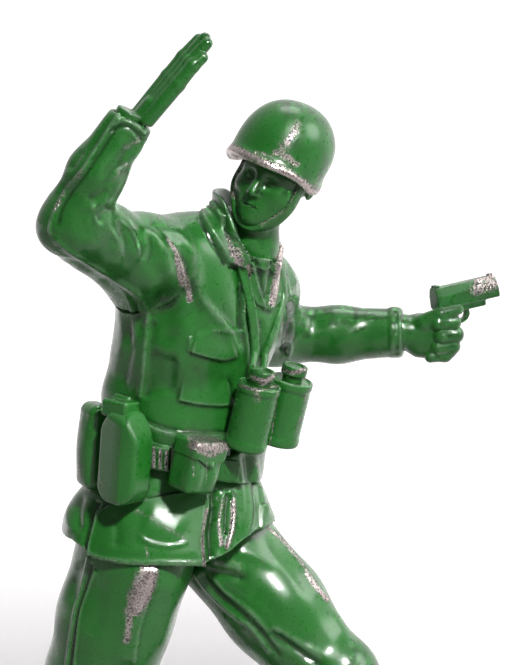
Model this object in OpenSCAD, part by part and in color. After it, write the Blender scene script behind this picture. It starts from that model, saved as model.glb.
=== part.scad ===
// Toy soldier figure: a hollow-cast officer with a raised hand and a pistol,
// standing astride on an oval base. Head, helmet, arms and hands are separate
// castings that plug together; the torso is a front and a back shell.
// Millimetres, +Z up, origin at the centre of the underside of the base.

/* [Base] */
// Overall length of the oval base
base_l = 84; // [78:1:100]
// Overall width of the oval base
base_w = 40; // [36:1:48]
// Thickness of the base
base_t = 3.6; // [3:0.1:5]

/* [Stance] */
// Height of the belt above the ground
waist_h = 92; // [90:0.5:94]
// Sideways lean of the torso, degrees
lean = 14; // [12:0.5:15]
// Turn of the chest to the figure's left, degrees
yaw = 45; // [43:0.5:47]
// Turn of the face against the chest, degrees
head_turn = -75; // [-77:1:-70]

/* [Torso] */
// Half the breadth of the chest
chest_a = 14; // [13.6:0.1:14.1]
// Half the depth of the chest
chest_b = 10.5; // [10:0.1:11]
// Half the breadth of the waist
waist_a = 12.2; // [12:0.1:12.6]
// Half the depth of the waist
waist_b = 9.5; // [9:0.1:10]
// Wall thickness of the torso shells
wall = 2; // [1.6:0.1:2.2]

/* [Joints] */
// Radius of the shoulder pins
pin_r = 2.5; // [2:0.1:2.6]
// Radius of the neck peg
neck_r = 3; // [2.6:0.1:3.2]
// Radius of the wrist pegs
wrist_r = 2; // [1.6:0.1:2.1]
// Running clearance on a radius
run = 0.05; // [0.03:0.01:0.08]
// Gap between faces that turn on each other
gap = 0.2; // [0.15:0.05:0.3]

/* [Helmet] */
// Outer radius of the helmet at its rim
helmet_r = 9; // [8.9:0.1:9.4]
// Wall of the helmet
helmet_t = 0.9; // [0.8:0.1:1]

/* [Hidden] */
green = "#2f7d3b";
dark = "#256b31";
worn = "#8f8a86";
bare = "#b4b0ac";

fs = 20;                       // facets of the blended forms
W = [-7, 3, waist_h];          // middle of the waist
neck = [0.8, -5, 36];          // foot of the neck, in the torso's frame
sh = [[-14.5, 0, 31], [11.2, -0.4, 28.4]];   // middles of the right and left shoulder faces
sh_r = 6.3;                    // radius of the shoulder faces

// joints of the arms, in the torso's frame
elbow_r = [-38.5, -1, 36];
cuff_r = [-35, -4.6, 55.5];
tip_r = [-28.6, -9.6, 69];
elbow_l = [31, 12.7, 16];
cuff_l = [45.6, -3.9, 22.1];

// hips, knees and ankles, in the ground frame
hip_r = [-13.2, -0.6, 72.5];
knee_r = [-22, 3.2, 45];
ankle_r = [-31.5, 7.6, 13];
hip_l = [-1.6, 7, 74];
knee_l = [19.6, 2, 49.5];
ankle_l = [22.5, 2, 13];

// ---------- frames ----------
module at_torso() { translate(W) rotate([0, lean, 0]) rotate([0, 0, yaw]) children(); }
module at_head() { at_torso() translate(neck) rotate([0, 0, head_turn]) children(); }
module tilt() { translate([0, 0, 3]) rotate(a = 6, v = [-0.5, 0.866, 0]) translate([0, 0, -3]) children(); }
module along(p, q) {
    d = q - p;
    translate(p) rotate([0, acos(d[2] / norm(d)), atan2(d[1], d[0])]) children();
}
module ball(p, r) { translate(p) sphere(r = r, $fn = fs); }
module limb(p, rp, q, rq) { hull() { ball(p, rp); ball(q, rq); } }
module front_half() { intersection() { children(); translate([-60, -120, -60]) cube([120, 120, 160]); } }
module back_half() { intersection() { children(); translate([-60, 0.02, -60]) cube([120, 120, 160]); } }
module disc(r, h, n = 24) { cylinder(r = r, h = h, $fn = n); }

// ---------- base, boots and legs ----------
module base_plate() {
    r = base_w / 2;
    x = base_l / 2 - r;
    color(green) difference() {
        union() {
            translate([-x, 0, 0]) cylinder(r = r, h = base_t * 0.6, $fn = 64);
            translate([x, 0, 0]) cylinder(r = r, h = base_t * 0.6, $fn = 64);
            translate([-x, -r, 0]) cube([2 * x, 2 * r, base_t * 0.6]);
            translate([-x, 0, base_t * 0.5]) cylinder(r = r - 1.2, h = base_t * 0.5, $fn = 64);
            translate([x, 0, base_t * 0.5]) cylinder(r = r - 1.2, h = base_t * 0.5, $fn = 64);
            translate([-x, 1.2 - r, base_t * 0.5]) cube([2 * x, 2 * r - 2.4, base_t * 0.5]);
        }
        for (p = boot_pegs()) translate([p[0], p[1], 0.8]) cylinder(r = 1.25, h = 10, $fn = 32);
    }
}
function boot_pegs() = [[-32.2, 8], [-28.6, -2], [24, 1], [31.4, -4.6]];

module boot(heel, toe, ankle, pegs) {
    color(dark) union() {
        intersection() {
            union() {
                hull() { ball(heel + [0, 0, base_t + 2.6], 3.7); ball(toe + [0, 0, base_t + 1.2], 3.2); ball(heel * 0.45 + toe * 0.55 + [0, 0, base_t + 3.4], 4); }
                hull() { ball(heel * 0.75 + toe * 0.25 + [0, 0, base_t + 4], 3.9); ball(ankle, 4.4); }
            }
            translate([-60, -60, base_t + 0.03]) cube([120, 120, ankle[2] - base_t - 0.05]);
        }
        for (p = pegs) translate([p[0], p[1], 1]) cylinder(r = 1.2, h = base_t + 1.4, $fn = 32);
    }
}
module right_boot() { boot([-33.2, 9.6, 0], [-27.2, -7, 0], ankle_r, [boot_pegs()[0], boot_pegs()[1]]); }
module left_boot() { boot([21.6, 2.6, 0], [34.6, -6.8, 0], ankle_l, [boot_pegs()[2], boot_pegs()[3]]); }

module leg_form(hip, knee, ankle, r, g) {
    limb(hip, r + g, knee, 7.2 + g);
    hull() { ball(knee, 7.2 + g); ball(ankle + [0, 0, 3], 5.6 + g); }
}
module leg_side(s, g) {
    translate([-7.6, 3.2, 0]) rotate([0, 0, yaw]) translate([s > 0 ? g : -60, -60, 60]) cube([60 - g, 120, 40]);
    translate([-80, -80, 0]) cube([160, 160, 62]);
}
module right_leg() {
    color(green) union() {
        intersection() {
            leg_form(hip_r, knee_r, ankle_r, 9, 0);
            leg_side(-1, 0.1);
            translate([-80, -80, ankle_r[2] + 0.03]) cube([160, 160, 90]);
        }
        translate([hip_r[0] - 1.6, hip_r[1] - 1.6, hip_r[2] + 4]) cylinder(r = 1.8, h = 8, $fn = 32);
    }
}
module left_leg() {
    color(green) union() {
        intersection() {
            leg_form(hip_l, knee_l, ankle_l, 8.6, 0);
            leg_side(1, 0.1);
            translate([-80, -80, ankle_l[2] + 0.03]) cube([160, 160, 90]);
        }
        translate([hip_l[0] - 0.6, hip_l[1] - 0.6, hip_l[2] + 4]) cylinder(r = 1.8, h = 6.2, $fn = 32);
    }
}
module jacket_skirt() {
    color(green) difference() {
        union() {
            hull() {
                at_torso() translate([0, 0, -7.6]) scale([waist_a + 0.4, waist_b + 0.4, 1]) cylinder(r = 1, h = 1.5, $fn = 28);
                translate([-8.6, 3.4, 72.4]) rotate([0, 0, yaw - 3]) scale([18.8, 16, 1]) cylinder(r = 1, h = 4, $fn = 28);
            }
            at_torso() translate([0, 0, -8]) cylinder(r = 3, h = 6.4, $fn = 40);
        }
        leg_form(hip_r, knee_r, ankle_r, 9, 0.15);
        leg_form(hip_l, knee_l, ankle_l, 8.6, 0.15);
        translate([hip_r[0] - 1.6, hip_r[1] - 1.6, hip_r[2] + 3]) cylinder(r = 1.85, h = 9.3, $fn = 32);
        translate([hip_l[0] - 0.6, hip_l[1] - 0.6, hip_l[2] + 3]) cylinder(r = 1.85, h = 7.4, $fn = 32);
    }
}

// ---------- torso ----------
module torso_form(g) {
    hull() {
        translate([-1.7, 0, 16.5]) scale([chest_a - g, chest_b - g, 13 - g]) sphere(1, $fn = fs);
        translate([sh[0][0] + 1.5 * g, 0, sh[0][2]]) rotate([0, 90, 0]) cylinder(r = sh_r - g, h = 6, $fn = 28);
        translate([sh[1][0] - 1.5 * g, sh[1][1], sh[1][2]]) rotate([0, -90, 0]) cylinder(r = sh_r - g, h = 6, $fn = 28);
        translate([neck[0], neck[1], 28]) cylinder(r = 6 - g, h = 8 - (g > 0 ? 2.5 : 0), $fn = 24);
        translate([0, 0, -6 + g]) scale([waist_a - g, waist_b - g, 1]) cylinder(r = 1, h = 3, $fn = 28);
    }
}
module torso_shell() {
    difference() {
        union() {
            difference() {
                torso_form(0);
                torso_form(wall);
            }
            // bearing for the neck peg
            translate([neck[0], neck[1], 28.5]) cylinder(r = neck_r + 1.4, h = 6, $fn = 40);
            // low collar round the neck
            translate([neck[0], neck[1], 35]) difference() {
                cylinder(r = 6.6, h = 3, $fn = 48);
                translate([0, 0, 1]) cylinder(r = 5.1, h = 3, $fn = 48);
            }
        }
        translate([neck[0], neck[1], 20]) cylinder(r = neck_r + run, h = 30, $fn = 48);
        for (i = [0, 1]) translate(sh[i]) {
            rotate([0, 90, 0]) cylinder(r = pin_r + run, h = 14, center = true, $fn = 48);
            // flat face that the sleeve turns on
            rotate([0, i * 180 - 90, 0]) cylinder(r1 = 7.4, r2 = 12.4, h = 5, $fn = 64);
        }
        translate([neck[0], neck[1], neck[2]]) cylinder(r = 4.6, h = 8, $fn = 48);
        translate([0, 0, -10]) cylinder(r = 3.06, h = 9, $fn = 40);
        for (p = dowel_spots()) translate([p[0], -2.05, p[1]]) rotate([-90, 0, 0]) cylinder(r = 0.83, h = 4.1, $fn = 24);
    }
}
function dowel_spots() = [[-14.6, 15], [11.2, 15], [-11.6, 0], [10.9, 0]];
module torso_front() {
    color(green) difference() {
        at_torso() front_half() torso_shell();
        at_torso() translate([4, -20, 12.4]) rotate([-90, 0, 0]) cylinder(r = 1.3, h = 14, $fn = 32);
    }
}
module torso_back() { color(green) at_torso() back_half() torso_shell(); }
module torso_dowels() {
    color(bare) at_torso() for (p = dowel_spots()) translate([p[0], -2, p[1]]) rotate([-90, 0, 0]) cylinder(r = 0.8, h = 4, $fn = 24);
}

// ---------- belt and what hangs on it ----------
module belt() {
    color(dark) at_torso() difference() {
        translate([0, 0, -5.8]) hull() scale([waist_a + 1.3, waist_b + 1.3, 1]) cylinder(r = 1, h = 4.8, $fn = 40);
        torso_form(-0.06);
    }
}
module belt_buckle() {
    color(worn) at_torso() translate([0, -waist_b - 1.36, -3.4]) rotate([90, 0, 0]) difference() {
        union() {
            translate([-2.6, -1.9, 0]) cube([5.2, 3.8, 0.9]);
        }
        translate([-1.6, -1, -1]) cube([3.2, 2, 3]);
    }
}
module ammo_pouch() {
    color(green) at_torso() translate([-5.6, -waist_b - 1.1, -1.4]) rotate([0, 0, -12]) difference() {
        union() {
            hull() {
                for (x = [-3.1, 3.1], z = [-4, 4.2]) ball([x, -1.5, z], 0.8);
                for (x = [-2.8, 2.8], z = [-3.2, 3.8]) ball([x, -4.6, z], 0.8);
            }
            translate([0, -1, -1.6]) rotate([-90, 0, 0]) cylinder(r = 0.7, h = 1.1, $fn = 24);
        }
        translate([-6, -0.42, -0.5]) cube([12, 3, 8]);
    }
}
// upright rounded box against the hip: turn a, width w, from d0 out to d1
module hip_box(a, w, d0, d1, z0, h, r) {
    translate([W[0] - 0.7, W[1], 91]) rotate([0, 4, 0]) rotate([0, 0, -a]) translate([0, 0, z0 - 91]) {
        for (x = [-w / 2 + r, w / 2 - r], y = [-d1 + r, -d0 - r]) translate([x, y, 0]) cylinder(r = r, h = h, $fn = 32);
        translate([-w / 2 + r, -d1, 0]) cube([w - 2 * r, d1 - d0, h]);
        translate([-w / 2, -d1 + r, 0]) cube([w, d1 - d0 - 2 * r, h]);
    }
}
module canteen_front() { color(green) hip_box(36, 8.6, 14.6, 19.8, 83.4, 15.4, 1.7); }
module canteen_back() { color(green) hip_box(67, 6.2, 14.4, 18.4, 84, 14.4, 1.6); }
module canteen_flap() { color(dark) hip_box(40, 6, 15, 18.4, 98.9, 1.5, 0.7); }

// ---------- binoculars ----------
bx = [0.4, 7.9];
by = -15;
bz = 3.2;
module barrel_at(i) { translate([bx[i], by, bz + i * 1.2]) rotate([3, -4, 0]) children(); }
module binocular_barrels() {
    color(green) at_torso() for (i = [0, 1]) barrel_at(i) {
        cylinder(r = 3.1, h = 1, $fn = 48);
        translate([0, 0, 0.9]) cylinder(r = 3.4, h = 9.4, $fn = 48);
        translate([0, 0, 10.2]) cylinder(r = 3.55, h = 0.8, $fn = 48);
    }
}
module binocular_eyepieces() {
    color(worn) at_torso() for (i = [0, 1]) barrel_at(i) translate([0, 0, 11.05]) {
        cylinder(r = 1.7, h = 1, $fn = 40);
        translate([0, 0, 0.9]) cylinder(r = 2.1, h = 1.5, $fn = 40);
    }
}
module binocular_bridge() {
    color(dark) difference() {
        at_torso() union() {
            translate([2.2, by - 1, 6]) cube([4.2, 2, 6]);
            translate([4, by + 0.9, 12.4]) rotate([-90, 0, 0]) cylinder(r = 1.25, h = 6.6, $fn = 32);
        }
        at_torso() for (i = [0, 1]) barrel_at(i) translate([0, 0, -1]) cylinder(r = 3.6, h = 14, $fn = 48);
    }
}
module binocular_strap() {
    color(dark) at_torso() difference() {
        union() {
            hull() { ball([0.4, -10.6, 13], 0.7); ball([-2.2, -9.4, 24], 0.7); }
            hull() { ball([-2.2, -9.4, 24], 0.7); ball([-4.4, -6.6, 35.4], 0.7); }
            hull() { ball([7.6, -10.2, 14], 0.7); ball([6.8, -9, 24], 0.7); }
            hull() { ball([6.8, -9, 24], 0.7); ball([6.4, -6.4, 35.4], 0.7); }
        }
        torso_form(-0.08);
        translate([neck[0], neck[1], 30]) cylinder(r = 6.7, h = 10, $fn = 48);
        translate([4, -20, 12.4]) rotate([-90, 0, 0]) cylinder(r = 1.9, h = 14, $fn = 32);
    }
}

// ---------- head and helmet ----------
module head_form(g) {
    hull() {
        ball([0, 0.4, 15], 7 + g);
        ball([0, -1.6, 12], 5.4 + g);
        ball([0, -4.3, 7.4], 3.2 + g);
    }
}
module head() {
    color(green) at_head() difference() {
        union() {
            tilt() head_form(0);
            tilt() hull() { ball([0, -6.4, 11], 0.7); ball([0, -7.6, 8.8], 0.9); }
            translate([0, 0, gap]) cylinder(r = 3.8, h = 10, $fn = 48);
            translate([0, 0, -6.5]) cylinder(r = neck_r, h = 8, $fn = 48);
        }
        tilt() translate([0, 0.4, 18.4]) cylinder(r = 1.25, h = 8, $fn = 32);
    }
}
module chin_strap() {
    color(dark) at_head() intersection() {
        difference() {
            tilt() head_form(0.6);
            tilt() head_form(0.04);
            cylinder(r = 3.9, h = 8, $fn = 48);
        }
        tilt() translate([0, -4.3, 7.4]) rotate([-14, 0, 0]) translate([-12, -0.9, -9]) cube([24, 1.8, 14]);
    }
}
helmet_n = 12;
function helmet_out(i) = [helmet_r * pow(cos(90 * i / helmet_n), 0.72), 12 + 12.6 * sin(90 * i / helmet_n)];
function helmet_in(i) = [(helmet_r - helmet_t) * pow(cos(90 * i / helmet_n), 0.72), 12 + (12.6 - helmet_t) * sin(90 * i / helmet_n)];
module helmet() {
    color(green) at_head() tilt() translate([0, 0.4, 0]) {
        rotate_extrude($fn = 64) polygon(concat(
            [[helmet_r - helmet_t, 10.8], [helmet_r + 0.3, 10.4]],
            [for (i = [0:helmet_n - 1]) helmet_out(i)], [[0, 24.6]], [[0, 24.6 - helmet_t]],
            [for (i = [helmet_n - 1:-1:0]) helmet_in(i)]));
        translate([0, 0, 19.6]) cylinder(r = 1.2, h = 4.6, $fn = 32);
    }
}

// ---------- arms ----------
module shoulder_pin(s) {
    at_torso() translate(sh[s > 0 ? 1 : 0]) rotate([0, s * 90, 0]) {
        translate([0, 0, -4.4]) cylinder(r = 3.6, h = 1.2, $fn = 40);
        translate([0, 0, -4.3]) cylinder(r = pin_r, h = 9.3, $fn = 48);
    }
}
module right_shoulder_pin() { color(bare) shoulder_pin(-1); }
module left_shoulder_pin() { color(bare) shoulder_pin(1); }
module shoulder_disc(s, h) { translate(sh[s > 0 ? 1 : 0] + [s * gap, 0, 0]) rotate([0, s * 90, 0]) cylinder(r = sh_r, h = h, $fn = 28); }

module right_sleeve() {
    color(green) at_torso() difference() {
        union() {
            hull() { shoulder_disc(-1, 3); ball(elbow_r, 5.7); }
            hull() { ball(elbow_r, 5.7); along(cuff_r, cuff_r * 2 - elbow_r) translate([0, 0, -3]) disc(3.8, 3); }
        }
        translate(sh[0] - [5.4, 0, 0]) rotate([0, 90, 0]) cylinder(r = pin_r + 0.02, h = 10, $fn = 48);
        along(cuff_r, elbow_r) translate([0, 0, -4]) cylinder(r = wrist_r + run, h = 10.4, $fn = 40);
    }
}
module left_sleeve() {
    color(green) at_torso() difference() {
        union() {
            hull() { shoulder_disc(1, 3); ball(elbow_l, 5.2); }
            hull() { ball(elbow_l, 5.2); along(cuff_l, cuff_l * 2 - elbow_l) translate([0, 0, -3]) disc(4.3, 3); }
        }
        translate(sh[1] + [5.4, 0, 0]) rotate([0, -90, 0]) cylinder(r = pin_r + 0.02, h = 10, $fn = 48);
        along(cuff_l, elbow_l) translate([0, 0, -4]) cylinder(r = wrist_r + run, h = 10.4, $fn = 40);
    }
}

// ---------- hands and pistol ----------
hw = [0.707, 0.707, 0];        // across the flat of the raised hand
module right_hand() {
    d = (cuff_r - elbow_r) / norm(cuff_r - elbow_r);
    p0 = cuff_r + d * 2.2;
    color(green) at_torso() {
        // four fingers side by side, each a rod with a rounded end
        for (i = [0:3]) {
            o = hw * ((i - 1.5) * 1.85);
            len = norm(tip_r - p0) - [1.6, 0.3, 0, 1][i];
            along(p0 + o, tip_r + o) {
                cylinder(r = 1.3, h = len, $fn = 32);
                translate([0, 0, len]) sphere(r = 1.3, $fn = 32);
            }
        }
        along(cuff_r, elbow_r) translate([0, 0, -gap - 3.4]) cylinder(r = 2.9, h = 3.4, $fn = 40);
        along(cuff_r, elbow_r) translate([0, 0, -gap - 1]) cylinder(r = wrist_r, h = 7, $fn = 40);
    }
}
grip_top = [50.6, -7.4, 28.4];
grip_end = [49.2, -7.6, 20.6];
muzzle = [58.2, -9.4, 32.6];
module pistol_grip(g) { hull() { ball(grip_top, 1.35 + g); ball(grip_end, 1.35 + g); ball(grip_top - [1, -0.2, 0.6], 1.3 + g); } }
module left_hand() {
    d = (cuff_l - elbow_l) / norm(cuff_l - elbow_l);
    color(green) at_torso() difference() {
        union() {
            hull() {
                ball(cuff_l + d * 2.6, 2.5);
                ball([49.4, -7.2, 24.6], 2.9);
                ball([49.2, -8.2, 21.2], 2.8);
                ball([51.6, -8.6, 23.6], 2.4);
            }
            along(cuff_l, elbow_l) translate([0, 0, -gap - 2]) cylinder(r = wrist_r, h = 8, $fn = 40);
            along(cuff_l, elbow_l) translate([0, 0, -gap - 2.4]) cylinder(r = 2.9, h = 2.4, $fn = 40);
        }
        pistol_grip(0.06);
        hull() { ball([47.9, -6.8, 28.9], 1.75); ball(muzzle, 1.65); }
    }
}
module pistol() {
    color(green) at_torso() {
        pistol_grip(0);
        hull() { ball([47.9, -6.8, 28.9], 1.6); ball(muzzle, 1.5); }
    }
}

base_plate();
right_boot();
left_boot();
right_leg();
left_leg();
jacket_skirt();
torso_front();
torso_back();
torso_dowels();
belt();
belt_buckle();
ammo_pouch();
canteen_front();
canteen_back();
canteen_flap();
binocular_barrels();
binocular_eyepieces();
binocular_bridge();
binocular_strap();
head();
chin_strap();
helmet();
right_sleeve();
right_shoulder_pin();
right_hand();
left_sleeve();
left_shoulder_pin();
left_hand();
pistol();
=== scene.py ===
import math

import bpy
import numpy as np
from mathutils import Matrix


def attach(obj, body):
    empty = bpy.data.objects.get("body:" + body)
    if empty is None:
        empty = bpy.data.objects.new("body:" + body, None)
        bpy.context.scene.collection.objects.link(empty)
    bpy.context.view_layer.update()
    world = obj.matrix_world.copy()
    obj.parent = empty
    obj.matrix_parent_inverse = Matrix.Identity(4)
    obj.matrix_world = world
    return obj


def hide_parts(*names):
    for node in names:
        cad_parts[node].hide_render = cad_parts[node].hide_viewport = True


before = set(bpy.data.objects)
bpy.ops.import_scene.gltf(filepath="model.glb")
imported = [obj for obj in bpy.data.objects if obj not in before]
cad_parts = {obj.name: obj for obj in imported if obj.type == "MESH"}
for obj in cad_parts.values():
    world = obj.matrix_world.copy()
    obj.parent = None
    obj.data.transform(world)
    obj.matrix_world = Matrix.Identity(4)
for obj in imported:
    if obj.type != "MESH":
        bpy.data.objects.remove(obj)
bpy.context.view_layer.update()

f32 = np.float32

# ---------------------------------------------------------------- frames, in mm
CE, SE = math.cos(math.radians(10)), math.sin(math.radians(10))
TGT = np.array([6.815, 3.0, 110.15])
DIST = 900.0
LENS = 286.6
EYE = TGT + DIST * np.array([0, -CE, SE])
FPX = 665 * LENS / 36.0


def ry(a):
    c, s = math.cos(math.radians(a)), math.sin(math.radians(a))
    return np.array([[c, 0, s], [0, 1, 0], [-s, 0, c]])


def rz(a):
    c, s = math.cos(math.radians(a)), math.sin(math.radians(a))
    return np.array([[c, -s, 0], [s, c, 0], [0, 0, 1]])


def rx(a):
    c, s = math.cos(math.radians(a)), math.sin(math.radians(a))
    return np.array([[1, 0, 0], [0, c, -s], [0, s, c]])


class Frame:
    """A right-handed frame: columns of R are its axes in the ground frame."""

    def __init__(self, R, o):
        self.R, self.o = np.array(R, float), np.array(o, float)

    def out(self, p):
        return np.asarray(p, float) @ self.R.T + self.o

    def into(self, p):
        return (np.asarray(p, float) - self.o) @ self.R


GROUND = Frame(np.eye(3), [0, 0, 0])
TORSO = Frame(ry(14) @ rz(45), [-7, 3, 92])
NECK = TORSO.out([0.8, -5, 36])
HEAD = Frame(ry(14) @ rz(-30), NECK)


def pix(p):
    """Where a ground-frame point lands in the picture."""
    q = np.asarray(p, float) - EYE
    depth = q[..., 1] * CE - q[..., 2] * SE
    x = q[..., 0] / depth * FPX + 259.5
    y = 332.5 - (q[..., 1] * SE + q[..., 2] * CE) / depth * FPX
    return np.stack([x, y], -1)


def at(px, py, y):
    """The ground-frame point seen at a picture place, at depth y."""
    d = np.array([(px - 259.5) / FPX, 0, 0])
    u = (332.5 - py) / FPX
    d[1], d[2] = CE + u * SE, -SE + u * CE
    return EYE + d * ((y - EYE[1]) / d[1])


# ---------------------------------------------------------------- distance fields
def A(*v):
    return np.array(v, dtype=f32)


def ln(v):
    return np.sqrt(np.einsum("ij,ij->i", v, v))


def cap(p, a, b, ra, rb=None):
    rb = ra if rb is None else rb
    a, b = np.asarray(a, f32), np.asarray(b, f32)
    ba = b - a
    pa = p - a
    t = np.clip(pa @ ba / max(float(ba @ ba), 1e-9), 0, 1)
    return ln(pa - t[:, None] * ba) - (ra + (rb - ra) * t)


def ell(p, c, r, R=None):
    q = p - np.asarray(c, f32)
    if R is not None:
        q = q @ np.asarray(R, f32)
    r = np.asarray(r, f32)
    k0 = ln(q / r)
    k1 = ln(q / (r * r))
    return k0 * (k0 - 1) / np.maximum(k1, 1e-6)


def box(p, c, h, R=None, r=0.0):
    q = p - np.asarray(c, f32)
    if R is not None:
        q = q @ np.asarray(R, f32)
    q = np.abs(q) - (np.asarray(h, f32) - r)
    return ln(np.maximum(q, 0)) + np.minimum(q.max(1), 0) - r


def smin(a, b, k):
    h = np.maximum(k - np.abs(a - b), 0) / k
    return np.minimum(a, b) - h * h * k * 0.25


def smax(a, b, k):
    return -smin(-a, -b, k)


def chain(p, pts, rs, k=0.6):
    d = None
    for i in range(len(pts) - 1):
        e = cap(p, pts[i], pts[i + 1], rs[i], rs[i + 1])
        d = e if d is None else smin(d, e, k)
    return d


def frame_of(z, x):
    """Axes (columns) with the third along z and the first near x."""
    z = np.array(z, float) / np.linalg.norm(z)
    x = np.array(x, float) - z * np.dot(x, z)
    x /= np.linalg.norm(x)
    return np.stack([x, np.cross(z, x), z], 1)


def sstep(a, b, x):
    t = np.clip((x - a) / (b - a), 0, 1)
    return t * t * (3 - 2 * t)


# ---------------------------------------------------------------- meshing
EDGES = [((0, 0, 0), (1, 0, 0)), ((0, 1, 0), (1, 1, 0)), ((0, 0, 1), (1, 0, 1)), ((0, 1, 1), (1, 1, 1)),
         ((0, 0, 0), (0, 1, 0)), ((1, 0, 0), (1, 1, 0)), ((0, 0, 1), (0, 1, 1)), ((1, 0, 1), (1, 1, 1)),
         ((0, 0, 0), (0, 0, 1)), ((1, 0, 0), (1, 0, 1)), ((0, 1, 0), (0, 1, 1)), ((1, 1, 0), (1, 1, 1))]


def evaluate(f, p, step=300000):
    return np.concatenate([f(p[i:i + step]) for i in range(0, len(p), step)])


def nets(f, lo, hi, h, coarse=4):
    """Quads over the zero level of f."""
    lo, hi = np.array(lo, float) - 2 * h, np.array(hi, float) + 2 * h
    H = h * coarse
    nc = np.ceil((hi - lo) / H).astype(int) + 1
    g = [lo[i] + H * np.arange(nc[i]) for i in range(3)]
    P = np.stack(np.meshgrid(*g, indexing="ij"), -1).reshape(-1, 3).astype(f32)
    dc = evaluate(f, P).reshape(nc)
    nf = (nc - 1) * coarse + 1
    ix = np.ix_(*[(np.arange(n) + coarse // 2) // coarse for n in nf])
    fine = dc[ix].copy()
    act = np.argwhere((np.abs(dc) < 1.8 * H)[ix])
    fine[tuple(act.T)] = evaluate(f, (lo + h * act).astype(f32))
    s = fine < 0
    b = s.astype(np.int8)
    c = sum(b[i:nf[0] - 1 + i, j:nf[1] - 1 + j, k:nf[2] - 1 + k] for i in (0, 1) for j in (0, 1) for k in (0, 1))
    mixed = (c > 0) & (c < 8)
    ijk = np.argwhere(mixed)
    idx = np.full(c.shape, -1, np.int32)
    idx[mixed] = np.arange(len(ijk))
    acc, cnt = np.zeros((len(ijk), 3)), np.zeros(len(ijk))
    for a, e in EDGES:
        da = fine[ijk[:, 0] + a[0], ijk[:, 1] + a[1], ijk[:, 2] + a[2]]
        de = fine[ijk[:, 0] + e[0], ijk[:, 1] + e[1], ijk[:, 2] + e[2]]
        m = (da < 0) != (de < 0)
        t = da[m] / (da[m] - de[m])
        acc[m] += np.array(a) + t[:, None] * (np.array(e) - np.array(a))
        cnt[m] += 1
    v = lo + h * (ijk + acc / cnt[:, None])
    quads = []
    for ax in range(3):
        u, w = [(1, 2), (2, 0), (0, 1)][ax]
        sl0, sl1 = [slice(None)] * 3, [slice(None)] * 3
        sl0[ax], sl1[ax] = slice(0, -1), slice(1, None)
        ch = s[tuple(sl0)] != s[tuple(sl1)]
        e = np.argwhere(ch)
        e = e[(e[:, u] > 0) & (e[:, w] > 0) & (e[:, u] < nf[u] - 1) & (e[:, w] < nf[w] - 1)]
        inside = s[tuple(e.T)]
        q = []
        for du, dw in ((-1, -1), (0, -1), (0, 0), (-1, 0)):
            cidx = e.copy()
            cidx[:, u] += du
            cidx[:, w] += dw
            q.append(idx[tuple(cidx.T)])
        q = np.stack(q, 1)
        q[~inside] = q[~inside][:, ::-1]
        quads.append(q)
    return v, np.concatenate(quads)


def gradient(f, v, e=0.04):
    g = np.zeros_like(v)
    for i in range(3):
        o = np.zeros(3)
        o[i] = e
        g[:, i] = (evaluate(f, (v + o).astype(f32)) - evaluate(f, (v - o).astype(f32))) / (2 * e)
    return g


def settle(f, v, rounds=2):
    for _ in range(rounds):
        g = gradient(f, v)
        d = evaluate(f, v.astype(f32))
        n2 = np.maximum((g * g).sum(1), 0.15)
        s = np.clip(d / n2, -0.3, 0.3)
        v = v - g * s[:, None]
    return v


def split_quads(v, q):
    """Each quad into four."""
    e = np.sort(np.stack([q, np.roll(q, -1, 1)], -1).reshape(-1, 2), 1)
    key = e[:, 0].astype(np.int64) * (len(v) + 1) + e[:, 1]
    uni, first, inv = np.unique(key, return_index=True, return_inverse=True)
    mid = v[e[first]].mean(1)
    cen = v[q].mean(1)
    n0, n1 = len(v), len(v) + len(mid)
    m = inv.reshape(-1, 4) + n0
    c = np.arange(len(q)) + n1
    out = [np.stack([q[:, i], m[:, i], c, m[:, (i + 3) % 4]], 1) for i in range(4)]
    return np.concatenate([v, mid, cen]), np.concatenate(out)


def vnormals(v, q):
    n = np.cross(v[q[:, 2]] - v[q[:, 0]], v[q[:, 3]] - v[q[:, 1]])
    out = np.zeros_like(v)
    for i in range(q.shape[1]):
        for a in range(3):
            out[:, a] += np.bincount(q[:, i], n[:, a], len(v))
    return out / np.maximum(np.linalg.norm(out, axis=1), 1e-12)[:, None]


def links(q):
    e = np.concatenate([q[:, [i, (i + 1) % q.shape[1]]] for i in range(q.shape[1])])
    return np.concatenate([e, e[:, ::-1]])


def blur(x, e, n, rounds=1, keep=0.0):
    deg = np.maximum(np.bincount(e[:, 0], minlength=n), 1)
    for _ in range(rounds):
        if x.ndim == 1:
            y = np.bincount(e[:, 0], x[e[:, 1]], n) / deg
        else:
            y = np.stack([np.bincount(e[:, 0], x[e[:, 1], a], n) / deg for a in range(x.shape[1])], 1)
        x = keep * x + (1 - keep) * y
    return x


# ---------------------------------------------------------------- sculpting strokes
def poly_dist(p, pts):
    """Distance to a polyline, side of it (+ left), and how far along, 0 to 1."""
    pts = np.asarray(pts, float)
    seg = pts[1:] - pts[:-1]
    L = np.linalg.norm(seg, axis=1)
    s0 = np.concatenate([[0], np.cumsum(L)])
    best = np.full(len(p), 1e9)
    side = np.zeros(len(p))
    along = np.zeros(len(p))
    for i in range(len(seg)):
        r = p - pts[i]
        t = np.clip(r @ seg[i] / max(L[i] ** 2, 1e-9), 0, 1)
        d = np.linalg.norm(r - t[:, None] * seg[i], axis=1)
        m = d < best
        best[m] = d[m]
        along[m] = (s0[i] + t[m] * L[i]) / s0[-1]
        if pts.shape[1] == 2:
            side[m] = np.sign(seg[i][0] * r[m, 1] - seg[i][1] * r[m, 0])
    return best, side, along


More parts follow.
